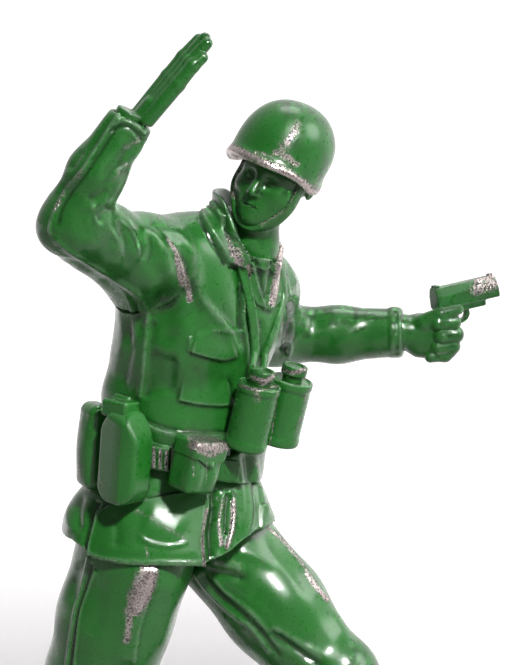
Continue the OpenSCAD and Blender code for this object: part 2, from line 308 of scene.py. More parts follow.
def smooth_line(pts, n=6):
    """A Catmull-Rom line through the points."""
    pts = np.asarray(pts, float)
    if len(pts) < 3:
        return pts
    P = np.concatenate([[2 * pts[0] - pts[1]], pts, [2 * pts[-1] - pts[-2]]])
    out = []
    for i in range(1, len(P) - 2):
        for t in np.linspace(0, 1, n, endpoint=False):
            a, b, c, d = P[i - 1:i + 3]
            out.append(0.5 * (2 * b + (c - a) * t + (2 * a - 5 * b + 4 * c - d) * t * t + (3 * b - a - 3 * c + d) * t ** 3))
    out.append(pts[-1])
    return np.array(out)


def taper(t, k):
    return sstep(0, k, t) * sstep(0, k, 1 - t) if k else 1.0


def inside_poly(p, poly):
    """Signed distance to a closed 2-D outline, positive inside."""
    poly = np.asarray(poly, float)
    inside = np.zeros(len(p), bool)
    n = len(poly)
    for i in range(n):
        a, b = poly[i], poly[(i + 1) % n]
        hit = (a[1] > p[:, 1]) != (b[1] > p[:, 1])
        dy = b[1] - a[1] if abs(b[1] - a[1]) > 1e-9 else 1e-9
        inside ^= hit & (p[:, 0] < (b[0] - a[0]) * (p[:, 1] - a[1]) / dy + a[0])
    d, _, _ = poly_dist(p, np.concatenate([poly, poly[:1]]))
    return np.where(inside, d, -d)


MM = 0.17  # millimetres to a pixel at the figure


class Sculpt:
    """A meshed form with its strokes. v is in the ground frame."""

    def __init__(self, v, q, n):
        self.v, self.q, self.n = v, q, n
        self.shape()

    def shape(self):
        self.px = pix(self.v)
        self.d = np.zeros(len(self.v))
        self.wear_and_glint = getattr(self, "wear_and_glint", np.zeros(len(self.v)))
        view = EYE - self.v
        view /= np.linalg.norm(view, axis=1)[:, None]
        self.face = sstep(0.0, 0.3, (self.n * view).sum(1))

    # picture strokes act on what faces the viewer
    def line(self, pts, w, h, tap=0.25, kind="g", w2=None, wear_and_glint=0.0, n=6, mask=None):
        pts = smooth_line(pts, n)
        lo, hi = pts.min(0), pts.max(0)
        reach = 3.2 * max(w, w2 or 0) / MM
        m = (self.px > lo - reach).all(1) & (self.px < hi + reach).all(1) & (self.face > 0)
        if mask is not None:
            m &= mask
        if not m.any():
            return
        d, s, t = poly_dist(self.px[m], pts)
        d = d * MM
        self._put(m, d, s, t, w, h, tap, kind, w2, wear_and_glint, self.face[m])

    def line3(self, pts, w, h, tap=0.25, kind="g", wear_and_glint=0.0, n=6, fr=GROUND, reach=None):
        pts = fr.out(smooth_line(pts, n))
        R = reach or 3.2 * w
        m = (self.v > pts.min(0) - R).all(1) & (self.v < pts.max(0) + R).all(1)
        if not m.any():
            return
        d, s, t = poly_dist(self.v[m], pts)
        self._put(m, d, s, t, w, h, tap, kind, None, wear_and_glint, 1.0)

    def _put(self, m, d, s, t, w, h, tap, kind, w2, wear_and_glint, face):
        k = taper(t, tap) * face
        if kind == "g":
            y = np.exp(-(d / w) ** 2)
        elif kind == "v":
            y = np.maximum(0, 1 - d / w)
        elif kind == "step":        # a cliff on the left that runs out over w2
            x = d * s
            y = sstep(-w * 0.5, w * 0.5, x) * np.exp(-(np.maximum(x, 0) / w2) ** 2) * (d < 3 * w2)
        elif kind == "fold":        # rounded on the left, sharp on the right
            x = d * s
            y = np.where(x > 0, np.exp(-(x / w2) ** 2), np.exp(-(x / w) ** 2))
        self.d[m] += h * y * k
        if wear_and_glint:
            self.wear_and_glint[m] = np.maximum(self.wear_and_glint[m], wear_and_glint * np.exp(-(d / w) ** 2) * k)

    def plate(self, poly, h, e=0.25, n=0, wear_and_glint=0.0, mask=None):
        if n:
            poly = smooth_line(np.concatenate([poly, poly[:1]]), n)[:-1]
        poly = np.asarray(poly, float)
        m = (self.px > poly.min(0) - 12).all(1) & (self.px < poly.max(0) + 12).all(1) & (self.face > 0)
        if mask is not None:
            m &= mask
        if not m.any():
            return
        s = inside_poly(self.px[m], poly) * MM
        y = sstep(-e / 2, e / 2, s) * self.face[m]
        self.d[m] += h * y
        if wear_and_glint:
            self.wear_and_glint[m] = np.maximum(self.wear_and_glint[m], wear_and_glint * y)

    def flat(self, poly, e=1.2, rounds=50):
        """Even out what lies inside an outline."""
        poly = np.asarray(poly, float)
        m = (self.px > poly.min(0) - 12).all(1) & (self.px < poly.max(0) + 12).all(1) & (self.face > 0)
        y = np.zeros(len(self.v))
        y[m] = sstep(-e / 2, e / 2, inside_poly(self.px[m], poly) * MM) * self.face[m]
        sm = blur(self.v, links(self.q), len(self.v), rounds)
        self.v = self.v + (sm - self.v) * y[:, None]
        n = vnormals(self.v, self.q)
        self.n = np.where(y[:, None] > 0.05, n, self.n)

    def blot(self, pts, w, amount):
        """Worn paint along a picture line; where it marks a glint, the bare metal is a painted highlight."""
        pts = smooth_line(pts, 5)
        R = 3 * w / MM
        m = (self.px > pts.min(0) - R).all(1) & (self.px < pts.max(0) + R).all(1) & (self.face > 0.05)
        if not m.any():
            return
        d, _, t = poly_dist(self.px[m], pts)
        y = amount * np.exp(-(d * MM / w) ** 2) * self.face[m]
        self.wear_and_glint[m] = np.maximum(self.wear_and_glint[m], y)

    def blot3(self, pts, w, amount, fr=GROUND):
        pts = fr.out(np.asarray(pts, float).reshape(-1, 3))
        if len(pts) == 1:
            d = np.linalg.norm(self.v - pts[0], axis=1)
        else:
            d, _, _ = poly_dist(self.v, pts)
        self.wear_and_glint = np.maximum(self.wear_and_glint, amount * np.exp(-(d / w) ** 2))

    def push(self, limit=1.6):
        """Apply the strokes and take new normals."""
        self.v = self.v + self.n * np.clip(self.d, -limit, limit)[:, None]
        self.n = vnormals(self.v, self.q)
        self.shape()


def crease(v, fa, fb, reach):
    """Vertices close to both surfaces go onto the line where the two meet."""
    m = (np.abs(evaluate(fa, v.astype(f32))) < reach) & (np.abs(evaluate(fb, v.astype(f32))) < reach)
    x = v[m]
    for _ in range(4):
        ra, rb = evaluate(fa, x.astype(f32)), evaluate(fb, x.astype(f32))
        ga, gb = gradient(fa, x), gradient(fb, x)
        aa, ab, bb = (ga * ga).sum(1) + 1e-3, (ga * gb).sum(1), (gb * gb).sum(1) + 1e-3
        det = np.maximum(aa * bb - ab * ab, 0.08)
        la, lb = (bb * ra - ab * rb) / det, (aa * rb - ab * ra) / det
        s = ga * la[:, None] + gb * lb[:, None]
        L = np.linalg.norm(s, axis=1)
        x = x - s * np.minimum(1, reach / np.maximum(L, 1e-9))[:, None]
    v = v.copy()
    v[m] = x
    return v


def sculpt(f, lo, hi, h, fr=GROUND, sub=1, rounds=2, edges=()):
    """Mesh a field given in frame fr."""
    v, q = nets(f, lo, hi, h)
    for fa, fb in edges:
        v = crease(v, fa, fb, h * 0.62)
    for _ in range(sub):
        v, q = split_quads(v, q)
    v = settle(f, v, rounds)
    w = fr.out(v)
    n = vnormals(w, q)
    if edges:
        skin = edges[0][0]
        m = np.abs(evaluate(skin, v.astype(f32))) < 0.12
        g = gradient(skin, v[m])
        n[m] = (g / np.maximum(np.linalg.norm(g, axis=1), 1e-6)[:, None]) @ fr.R.T
    return Sculpt(w, q, n)




# ---------------------------------------------------------------- the figure's measures, in mm
SHR, SHL = np.array([-14.5, 0, 31.0]), np.array([11.2, -0.4, 28.4])
ELR, CUR, TIR = np.array([-38.5, -1, 36.0]), np.array([-35, -4.6, 55.5]), np.array([-28.6, -9.6, 69.0])
ELL, CUL = np.array([31, 12.7, 16.0]), np.array([45.6, -3.9, 22.1])
HIPR, KNR, ANR = np.array([-13.2, -0.6, 72.5]), np.array([-22, 3.2, 45.0]), np.array([-31.5, 7.6, 13.0])
HIPL, KNL, ANL = np.array([-1.6, 7, 74.0]), np.array([19.6, 2, 49.5]), np.array([22.5, 2, 13.0])
BASE_T = 3.6
FLIP = np.array([-0.5, 0.866, 0])


def about(axis, deg):
    a = np.array(axis, float) / np.linalg.norm(axis)
    c, s = math.cos(math.radians(deg)), math.sin(math.radians(deg))
    K = np.array([[0, -a[2], a[1]], [a[2], 0, -a[0]], [-a[1], a[0], 0]])
    return np.eye(3) + s * K + (1 - c) * K @ K


TILT = about(FLIP, 6)
SKULL = Frame(HEAD.R @ TILT, HEAD.out(np.array([0, 0, 3.0]) - TILT @ np.array([0, 0, 3.0])))


def hit(px, py, f, fr, near=-60.0, far=60.0, lift=0.0):
    """The first point of a form on the line of sight through a picture place."""
    ys = np.arange(near, far, 0.1)
    pts = np.stack([at(px, py, y) for y in ys])
    d = f(fr.into(pts).astype(f32)) - lift
    k = np.argmax(d < 0)
    return pts[k]


# ---------------------------------------------------------------- the forms
def torso_core(p):
    d = ell(p, (-1.4, 0.5, 17.5), (14.9, 10.6, 16))
    d = smin(d, cap(p, (-10, 0.2, 31), (7, -0.2, 29), 6.1), 4)
    d = smin(d, cap(p, (-9, 0, 31), (-19, 0, 31), 6.4), 3)
    d = smin(d, cap(p, (4.5, -0.3, 27.8), (10.5, -0.4, 27.6), 5.7), 3)
    d = smin(d, cap(p, (-8, 0.6, 34), (0.4, -2.2, 38.6), 3.6), 5)
    d = smin(d, cap(p, (4.4, 0.0, 31), (1.0, -2.6, 36.4), 3.2), 5)
    d = smin(d, ell(p, (-1.5, 4.6, 24), (11, 6.4, 10)), 4)
    d = smin(d, ell(p, (-7.6, -4.6, 22.5), (7, 5.6, 10.5)), 3)
    d = smin(d, ell(p, (4.2, -4.8, 21.5), (6, 5.4, 9.5)), 3)
    d = smin(d, ell(p, (0, -0.7, 4), (12.9, 10.4, 9)), 4)
    d = smin(d, ell(p, (-5.4, 4.6, 13), (8.4, 6.6, 13)), 3)
    d = smin(d, ell(p, (-5.0, 4.0, 5), (8.6, 7.3, 6.5)), 3)
    d = smin(d, ell(p, (0, 0, -6), (12.0, 9.4, 9)), 3)
    d = smin(d, ell(p, (3.0, -3.4, -3), (10.6, 9.4, 8)), 3)
    d = smin(d, ell(p, (3.4, -3.2, 5), (10.2, 8.2, 9)), 3)
    d = smin(d, cap(p, (-16.4, 3.0, 25), (-6.6, 6.2, 17), 3.9, 3.7), 3.5)
    q = p - A(0.8, -5, 0)
    return smin(d, smax(np.hypot(q[:, 0], q[:, 1]) - 5.0, q[:, 2] - 33.2, 0.5), 1.4)


def collar(p):
    """The standing part of the collar: high behind and on the right, open at the front."""
    q = p - A(0.8, -5, 36)
    r = np.hypot(q[:, 0], q[:, 1])
    phi = np.arctan2(q[:, 0], q[:, 1])           # 0 behind, minus to the figure's right
    H = 7.3 - 6.2 * sstep(-0.2, 1.0, phi) - 8.5 * sstep(-1.2, -2.35, phi) - 3.0 * sstep(1.4, 2.4, phi)
    rc = 6.1 + 0.2 * q[:, 2] + 0.8 * np.cos(phi + 0.8)
    d = np.abs(r - rc) - 0.5
    d = smax(d, q[:, 2] - H, 0.5)
    return smax(d, -3.5 - q[:, 2], 0.5)




def right_arm_core(p):
    d = chain(p, [(-8, 0, 31), (-20, 0.1, 31.4), (-30, -0.6, 34.0), tuple(ELR + (0.9, 0.2, -0.1))], [6.4, 6.2, 5.5, 5.1], 2)
    e = chain(p, [tuple(ELR + (0.7, 0.1, 0)), (-37.3, -2.6, 45), tuple(CUR * 1.02 - ELR * 0.02 + TORSO.R.T @ (0.55, 0, -0.15))], [5.1, 4.6, 3.6], 2)
    d = smin(d, e, 3.2)
    d = smin(d, cap(p, (-39.6, 0.6, 34.4), (-38.8, -0.4, 38), 3.0), 2.4)
    # the slack of the sleeve hangs below the upper arm
    return smin(d, cap(p, (-34, 1.5, 32.4), (-17, 3.4, 26.6), 3.4, 4.2), 3)


def left_arm_core(p):
    d = chain(p, [(5, -0.4, 28.0), (14.5, 2.4, 26.0), (23, 8.2, 20.6), tuple(ELL)], [6.0, 5.8, 5.5, 5.1], 2)
    e = chain(p, [tuple(ELL), tuple(ELL * 0.5 + CUL * 0.5 + (0.2, 0.3, -0.3)), tuple(CUL * 1.02 - ELL * 0.02)], [5.1, 4.75, 4.15], 2)
    d = smin(d, e, 3)
    return smin(d, cap(p, tuple(ELL + (0.6, 2.4, -1.0)), tuple(ELL + (1.2, 1.6, 0.4)), 3.2), 2.4)


def plane(p, o, n):
    n = np.array(n, float) / np.linalg.norm(n)
    return ((p - np.asarray(o, f32)) @ n.astype(f32))


def upper(p):
    """Jacket and both sleeves as one cast skin, before it is cut at the shoulder joints."""
    return smin(smin(torso_core(p), right_arm_core(p), 3.2), left_arm_core(p), 2.6)


def joint_cone(p, c, s, g):
    """Inside the space that an arm turns in: below zero."""
    x = (p[:, 0] - c[0]) * s
    r = np.hypot(p[:, 1] - c[1], p[:, 2] - c[2])
    return np.maximum((r - 7.3 - np.maximum(x, 0)) * 0.75, -x) + g


def torso_f(p):
    d = upper(p)
    d = smax(d, np.minimum(torso_core(p) - 1.0, p[:, 0] - SHL[0] - 2.0), 0.4)     # no web beyond the left shoulder
    q = p - A(0.8, -5, 36)
    bore = smax(np.hypot(q[:, 0], q[:, 1]) - 4.55, -5.2 - q[:, 2], 0.2)   # room for the neck
    d = smin(d, collar(p), 0.9)
    d = smax(d, -bore, 0.4)
    for c, s in ((SHR, -1), (SHL, 1)):
        d = np.maximum(d, -joint_cone(p, c, s, 0.0))
    return np.maximum(d, -3.2 - p[:, 2])


def cuff(p, d, C, E, r0, r1, aside=(0, 0, 0)):
    cut = plane(p, C, C - E)
    N = ((C - E) / np.linalg.norm(C - E)).astype(f32)
    rad = ln((p - C.astype(f32)) - cut[:, None] * N)
    out = ln((p - (C + aside).astype(f32)) - plane(p, C + aside, C - E)[:, None] * N)
    d = smin(d, smax(np.abs(cut + 1.3) - 1.2, out - r0, 0.6), 0.5)
    d = smax(d, cut, 1.3)
    return smax(d, -smax(rad - r1, -1.2 - cut, 0.4), 0.5)


def right_sleeve_f(p):
    d = cuff(p, upper(p), CUR, ELR, 3.75, 2.7, TORSO.R.T @ (0.55, 0, -0.15))
    return np.maximum(d, joint_cone(p, SHR, -1, 0.03))


def left_sleeve_f(p):
    d = cuff(p, upper(p), CUL, ELL, 4.4, 3.4)
    return np.maximum(d, joint_cone(p, SHL, 1, 0.03))


def leg_r_f(p):
    d = chain(p, [(-14.2, -0.6, 74), (-18.0, 1.0, 61), (-20.6, 2.6, 50.5), (-22.4, 3.6, 43.5), (-26.2, 6.2, 32), (-29.6, 7.2, 19.5)], [10.2, 9.4, 8.9, 7.9, 6.9, 5.5], 3)
    d = smin(d, cap(p, (-12.6, -4.4, 71), (-18.6, -1.5, 55), 7.6, 7.2), 2.5)
    d = smin(d, ell(p, KNR + (0.6, -1.8, 1), (5.6, 5.8, 6.5)), 2)
    d = smin(d, smax(np.abs(p[:, 2] - 16.2) - 2.9, np.hypot(p[:, 0] + 30.2, p[:, 1] - 7.3) - 5.9, 1.6), 1.4)
    side = plane(p, (-7.6, 3.2, 70), (-0.7071, -0.7071, 0))
    d = smax(d, 0.1 - side - 0.6 * np.maximum(70 - p[:, 2], 0), 0.8)
    return smax(d, 13.35 - p[:, 2], 0.4)


def leg_l_f(p):
    d = chain(p, [HIPL + (0, 0, 1), (9.4, 4.4, 62), KNL, (21.6, 4.2, 35), (22.4, 2.8, 19.5)], [9.2, 8.5, 7.3, 6.7, 5.4], 3)
    d = smin(d, ell(p, KNL + (1.8, -2.0, 1.2), (5.6, 5.6, 6.5)), 2)
    d = smin(d, smax(np.abs(p[:, 2] - 16.2) - 2.9, np.hypot(p[:, 0] - 22.4, p[:, 1] - 2.4) - 5.8, 1.6), 1.4)
    side = plane(p, (-7.6, 3.2, 70), (0.7071, 0.7071, 0))
    d = smax(d, 0.1 - side - 0.6 * np.maximum(70 - p[:, 2], 0), 0.8)
    return smax(d, 13.35 - p[:, 2], 0.4)


def skirt_wall(p, inset):
    s = np.clip((87.4 - p[:, 2]) / 14.8, -0.2, 1.25)
    c, n = math.cos(math.radians(43)), math.sin(math.radians(43))
    cx = -8.4 - 0.4 * s
    x, y = p[:, 0] - cx, p[:, 1] - 3.2
    u, w = x * c + y * n, -x * n + y * c
    phi = np.arctan2(u, -w)          # 0 at the figure's front, + to its left
    rear = np.exp(-((phi + 2.35) / 0.75) ** 2) + np.exp(-((phi - 3.93) / 0.75) ** 2)
    fore = np.exp(-((phi - 0.62) / 0.8) ** 2)
    flat = np.exp(-((phi + 0.75) / 0.8) ** 2)
    e = np.sign(s) * np.abs(s) ** (0.8 + 0.3 * flat) + rear * (0.5 * np.sin(np.clip(s, 0, 1) * math.pi * 0.93)) + fore * 0.5
    e = e * (1 - 0.2 * flat)
    a = 12.1 + 6.4 * e - inset
    b = 9.5 + 6.0 * e - inset
    k0 = np.sqrt((u / a) ** 2 + (w / b) ** 2)
    k1 = np.sqrt((u / a ** 2) ** 2 + (w / b ** 2) ** 2)
    return k0 * (k0 - 1) / np.maximum(k1, 1e-6) * 0.8, phi, s


def skirt_f(p):
    d, phi, s = skirt_wall(p, 0.0)
    d = d - 0.5 * np.clip(s, 0, 1) * (np.cos(5 * phi + 0.6) * 0.5 + np.cos(9 * phi + 2.0) * 0.3) * sstep(1.0, 1.6, np.abs(phi + 0.8))
    hem = np.interp(phi, (-3.2, -1.86, -1.68, -1.51, -1.2, -0.9, -0.6, -0.34, -0.11, 0.0, 0.16, 0.37, 0.57, 1.0, 1.8, 2.6, 3.2),
                    (75.3, 75.8, 75.0, 73.9, 73.4, 73.3, 73.0, 72.9, 73.9, 74.6, 76.0, 77.2, 77.5, 77.2, 76.6, 75.6, 75.3)).astype(f32)
    d = smax(d, hem - p[:, 2], 0.45)
    inner, _, _ = skirt_wall(p, 1.5)
    d = smax(d, -smax(inner, p[:, 2] - 77.5, 2.0), 0.5)
    up = TORSO.R[:, 2].astype(f32)
    return smax(d, (p - TORSO.out([0, 0, -3.3]).astype(f32)) @ up, 0.4)


def belt_f(p):
    """The belt; at the left front the coat's edge is drawn up over it."""
    over = sstep(-1.0, 3.0, p[:, 0]) * sstep(3.0, -3.0, p[:, 1])
    d = np.abs(torso_core(p) - 0.75 + 0.25 * over) - 0.5
    return smax(d, smax(p[:, 2] - 0.6 - 1.6 * over, -3.75 - p[:, 2], 0.3), 0.35)


def skull_f(q):
    """The head in its own tilted frame: face to -y."""
    d = ell(q, (0, 0.6, 15.2), (6.5, 7.2, 7.0))
    jaw = smin(ell(q, (0, -2.2, 10.2), (5.5, 5.0, 7.2)), ell(q, (0, -2.0, 6.6), (4.9, 4.7, 4.0)), 1.6)
    d = smin(d, smax(jaw, (q[:, 1] + 4.3) * 0.97 - (q[:, 2] - 7.4) * 0.242 - 1.9, 1.2), 2)
    d = smin(d, ell(q, (0, -5.6, 4.7), (1.9, 1.6, 1.5)), 1.7)
    x = np.abs(q[:, 0])
    m = np.stack([x, q[:, 1], q[:, 2]], 1)
    d = smin(d, ell(m, (3.4, -4.3, 9.2), (1.5, 1.5, 1.2)), 2.4)
    d = smin(d, cap(m, (0.7, -6.55, 12.7), (3.4, -5.4, 12.5), 0.7, 0.5), 1.8)
    d = smax(d, -ell(m, (1.95, -7.35, 11.2), (1.25, 0.95, 0.75)), 1.1)
    d = smin(d, ell(m, (2.0, -5.75, 11.1), (1.1, 0.9, 0.6)), 0.3)
    d = smin(d, cap(m, (1.0, -6.28, 11.55), (3.4, -5.55, 11.4), 0.24, 0.2), 0.35)
    d = smin(d, cap(q, (0, -6.5, 12.1), (0, -8.0, 9.0), 0.62, 0.85), 0.9)
    d = smin(d, ell(m, (0.8, -7.1, 8.7), (0.6, 0.75, 0.55)), 0.5)
    d = smax(d, -ell(m, (0.42, -7.9, 8.05), (0.32, 0.5, 0.35)), 0.3)
    d = smin(d, ell(q, (0, -6.15, 6.6), (2.3, 1.0, 1.5)), 1.0)
    d = smin(d, cap(m, (0.0, -6.9, 6.95), (1.4, -6.35, 6.8), 0.38, 0.24), 0.45)
    d = smin(d, cap(m, (0.0, -6.85, 6.1), (1.15, -6.4, 6.25), 0.46, 0.3), 0.45)
    d = smax(d, -cap(m, (0.0, -7.5, 6.52), (1.6, -6.8, 6.56), 0.2, 0.12), 0.3)
    d = smin(d, ell(m, (5.4, 1.6, 11.6), (0.6, 1.2, 1.6)), 0.5)
    d = smax(d, -ell(m, (6.0, 1.3, 11.8), (0.35, 0.6, 0.9)), 0.35)
    return d


ASIDE = SKULL.R.T @ np.array([0.9, 0, 0])
HT = SKULL.R.T @ HEAD.R
HO = SKULL.into(HEAD.o)


def head_f(p):
    q = (p @ HT.T.astype(f32)) + (HO - ASIDE).astype(f32)
    d = skull_f(q)
    n = cap(p, (0, 0.0, -9), (0, 0.1, 0), 4.3, 4.25)
    n = smin(n, cap(p, (0, 0.1, 0), (-0.5, 0.3, 9.5), 4.2, 3.1), 1.0)
    x = np.abs(p[:, 0])
    m = np.stack([x, p[:, 1], p[:, 2]], 1)
    n = smin(n, cap(m, (3.2, 1.0, 9), (0.9, -3.3, 0.2), 0.9), 1.4)
    n = smin(n, ell(p, (0, -3.6, 4.6), (0.9, 0.9, 1.2)), 1.0)
    d = smin(d, n, 1.6)
    return np.maximum(d, -5.0 - p[:, 2])


# ---------------------------------------------------------------- smaller forms
UP = TORSO.R.T                       # ground directions into the torso frame


def tors(p):
    return TORSO.into(np.asarray(p, float))


HAND_T = UP @ (np.array([0.635, 0.06, 0.77]) / np.linalg.norm([0.635, 0.06, 0.77]))


def right_hand_f(p):
    t = HAND_T
    a = UP @ np.array([-0.42, 0.84, 0.34])
    a -= t * (a @ t)
    a /= np.linalg.norm(a)
    n = np.cross(a, t)               # towards the palm
    o = CUR + (CUR - ELR) / np.linalg.norm(CUR - ELR) * 0.4 + UP @ np.array([1.45, 0, -1.23])
    d = cap(p, o - t * 2.5, o + t * 3.2, 1.7, 1.7)
    for i, s in enumerate((-1.5, -0.5, 0.5, 1.5)):
        L = (15.6, 17.8, 18.2, 17.4)[i]
        k0 = o - t * 3.0 + a * s * 0.95
        k1 = o + t * 8.6 + a * s * 1.16
        k2 = o + t * 12.6 + a * s * 1.18 - n * 0.1
        e = o + t * (L - 1.0) + a * s * 1.16 + n * (0.35, 0.1, 0.0, 0.1)[i]
        m = smin(cap(p, k0, k1, 1.3, 1.25), smin(cap(p, k1, k2, 1.22, 1.14), cap(p, k2, e, 1.14, 0.98), 0.4), 0.4)
        d = smin(d, m, 0.34)
    th = smin(cap(p, o + t * 2.2 + a * 0.9 + n * 0.6, o + t * 6.6 + a * 1.9 + n * 1.1, 1.2, 1.05),
              cap(p, o + t * 6.6 + a * 1.9 + n * 1.1, o + t * 11.4 + a * 1.9 + n * 1.0, 1.0, 0.82), 0.5)
    d = smin(d, th, 0.4)
    # above the cuff, on a round wrist that turns in it
    cut = plane(p, CUR, CUR - ELR)
    rad = ln((p - CUR.astype(f32)) - cut[:, None] * ((CUR - ELR) / np.linalg.norm(CUR - ELR)).astype(f32))
    d = smax(d, 0.12 - cut, 0.5)
    return smin(d, smax(rad - 2.45, np.abs(cut + 0.1) - 0.9, 0.3), 0.5)


FY = 33.0                             # depth of the fist


def left_hand_f(p):
    w = TORSO.out(CUL)
    h = at(428, 336, FY + 0.4)
    d = cap(p, w - (h - w) * 0.2, h, 3.15, 3.4)
    R = np.stack([np.array([0.995, 0, -0.05]), np.array([0, 1, 0]), np.array([0.05, 0, 0.995])], 1)
    d = smin(d, box(p, at(430, 336, FY), (3.5, 2.7, 3.7), R, 1.7), 1.2)
    d = smin(d, box(p, at(441, 337, FY), (2.9, 2.9, 3.6), R, 1.6), 1.0)
    for x, y, r in ((451, 321, 1.45), (453.5, 333, 1.5), (450.5, 344.5, 1.4), (443.5, 353.5, 1.2)):
        c = at(x, y, FY)
        f = cap(p, c + (-0.5, 2.6, 0), c + (0.2, -1.6, 0), r, r * 0.98)
        f = smin(f, cap(p, c + (0.2, -1.6, 0), c + (-2.4, -2.9, -0.1), r * 0.95, r * 0.85), 0.6)
        d = smin(d, f, 0.3)
    b, m, e = at(424, 323, FY - 2.0), at(440, 314.5, FY - 2.3), at(458, 309.5, FY - 2.0)
    d = smin(d, smin(cap(p, b, m, 1.7, 1.25), cap(p, m, e, 1.2, 0.95), 0.5), 0.55)
    return d


def pistol_f(p):
    a, b = TORSO.out([47.7, -6.75, 28.9]), TORSO.out([59.4, -9.7, 33.0])
    d = (b - a) / np.linalg.norm(b - a)
    R = frame_of(d, [0, 1, 0])        # x across, y up or down, z along
    if R[2, 1] < 0:
        R = np.stack([-R[:, 0], -R[:, 1], R[:, 2]], 1)
    L = np.linalg.norm(b - a)
    q = (p - ((a + b) / 2).astype(f32)) @ R.astype(f32)
    top = smax(np.abs(q[:, 0]) + 0.3 * np.maximum(q[:, 1] - 0.6, 0) - 1.55, np.abs(q[:, 1] - 0.25) - 1.9, 0.35)
    s = smax(top, np.abs(q[:, 2]) - L / 2, 0.35)
    s = smax(s, (q[:, 2] - L / 2 + 0.0) * 0.9 + q[:, 1] * 0.16, 0.3)
    bore = np.hypot(q[:, 0], q[:, 1] - 0.25) - 0.55
    s = smax(s, -np.maximum(bore, L / 2 - 1.4 - q[:, 2]), 0.15)
    g = smax(smax(np.abs(q[:, 0]) - 1.15, np.abs(q[:, 1] + 2.1) - 0.62, 0.3), np.abs(q[:, 2] + 0.6) - L / 2 + 2.2, 0.4)
    s = smin(s, g, 0.35)
    sight = smax(smax(np.abs(q[:, 0]) - 0.3, np.abs(q[:, 1] - 2.2) - 0.35, 0.1), np.abs(q[:, 2] - L / 2 + 0.9) - 0.5, 0.1)
    rear = smax(smax(np.abs(q[:, 0]) - 0.8, np.abs(q[:, 1] - 2.15) - 0.4, 0.1), np.abs(q[:, 2] + L / 2 - 0.7) - 0.45, 0.1)
    notch = smax(np.abs(q[:, 0]) - 0.22, -(q[:, 1] - 2.2), 0.05)
    s = smin(s, smin(sight, smax(rear, -notch, 0.05), 0.05), 0.12)
    gt, ge = TORSO.out([50.4, -7.35, 28.2]), TORSO.out([48.9, -7.6, 20.0])
    Rg = frame_of(ge - gt, R[:, 0])
    grip = box(p, (gt + ge) / 2, (1.15, 1.75, np.linalg.norm(ge - gt) / 2), Rg, 0.7)
    s = smin(s, grip, 0.4)
    c = a + d * 4.6 - R[:, 1] * 3.3
    qg = (p - c.astype(f32)) @ R.astype(f32)
    guard = np.maximum(np.abs(np.hypot(qg[:, 2] / 1.25, qg[:, 1]) - 1.35) - 0.32, np.abs(qg[:, 0]) - 0.5)
    return smin(s, guard, 0.25)


BX, BY, BZ = (0.4, 7.9), -15.0, (3.2, 4.4)
BARREL = [Frame(TORSO.R @ ry(-4) @ rx(3), TORSO.out([BX[i], BY, BZ[i]])) for i in (0, 1)]


def cyl(q, r, z0, z1, e=0.3):
    return smax(np.hypot(q[:, 0], q[:, 1]) - r, np.abs(q[:, 2] - (z0 + z1) / 2) - (z1 - z0) / 2, e)


def barrel_f(p):
    d = None
    for B in BARREL:
        q = ((p - B.o.astype(f32)) @ B.R.astype(f32))
        r = np.hypot(q[:, 0], q[:, 1])
        s = cyl(q, 3.55, -0.2, 10.9, 1.0)
        s = smin(s, cyl(q, 3.68, 9.9, 11.25, 0.4), 0.25)
        s = smin(s, cyl(q, 3.66, -0.3, 1.5, 0.7), 0.3)
        s = smax(s, -smax(r - 2.9, q[:, 2] - 0.35, 0.2), 0.3)
        s = smax(s, -smax(r - 3.1, 11.0 - q[:, 2], 0.15), 0.2)
        s = smax(s, 0.1 - np.hypot(r - 3.62, q[:, 2] - 9.5), 0.2)
        d = s if d is None else np.minimum(d, s)
    return d


def eyepiece_f(p):
    d = None
    for B in BARREL:
        q = ((p - B.o.astype(f32)) @ B.R.astype(f32))
        r = np.hypot(q[:, 0], q[:, 1])
        s = cyl(q, 1.75, 10.95, 12.6, 0.2)
        s = smin(s, cyl(q, 2.2, 12.0, 13.75, 0.4), 0.2)
        s = smax(s, -smax(r - 1.45, 13.45 - q[:, 2], 0.2), 0.2)
        d = s if d is None else np.minimum(d, s)
    return d


def bridge_f(p):
    a, b = BARREL[0], BARREL[1]
    d = None
    for z, r in ((2.4, 0.9), (8.4, 1.1)):
        c = cap(p, a.out([2.6, 0.3, z + 0.4]), b.out([-2.6, 0.3, z - 0.5]), r)
        d = c if d is None else np.minimum(d, c)
    m = (a.out([0, 0.2, 1.2]) + b.out([0, 0.2, 0.2])) / 2
    e = (a.out([0, 0.2, 10.2]) + b.out([0, 0.2, 9.2])) / 2
    d = smin(d, cap(p, m, e, 0.95), 0.5)
    d = smin(d, cap(p, e, TORSO.out([4.0, -10.0, 12.6]), 1.0), 0.6)
    for B in BARREL:
        q = ((p - B.o.astype(f32)) @ B.R.astype(f32))
        d = np.maximum(d, 3.4 - np.hypot(q[:, 0], q[:, 1]))
    return d


def hip_frame(a):
    return Frame(ry(4) @ rz(-a), [-6.2, 3, 90.6])


def canteen_f(p):
    q = p - A(0, -17.2, 0.1)
    x, y, z = q[:, 0], q[:, 1], q[:, 2]
    d = box(q, (0, 0, 0), (4.35, 3.2, 7.95), None, 1.1)
    d = smax(d, -y * 0.95 + np.abs(x - 1.7) * 0.31 - 2.9, 0.9)         # two flat sides that meet in a ridge
    d = smax(d, 0.857 * x + 0.516 * z - 5.5, 0.8)
    d = smax(d, -0.8 * x + 0.6 * z - 6.4, 0.9)
    d = smax(d, 0.7 * np.abs(x) - 0.714 * z - 7.35, 0.9)
    return smax(d, -0.6 * y + 0.8 * z - 6.9, 0.8)


def canteen_b_f(p):
    q = p - A(0, -16.4, 0.2)
    d = box(q, (0, 0, 0), (3.2, 2.1, 7.35), None, 1.7)
    return smin(d, ell(q, (0, -0.8, 0), (2.7, 2.0, 6.6)), 1.0)


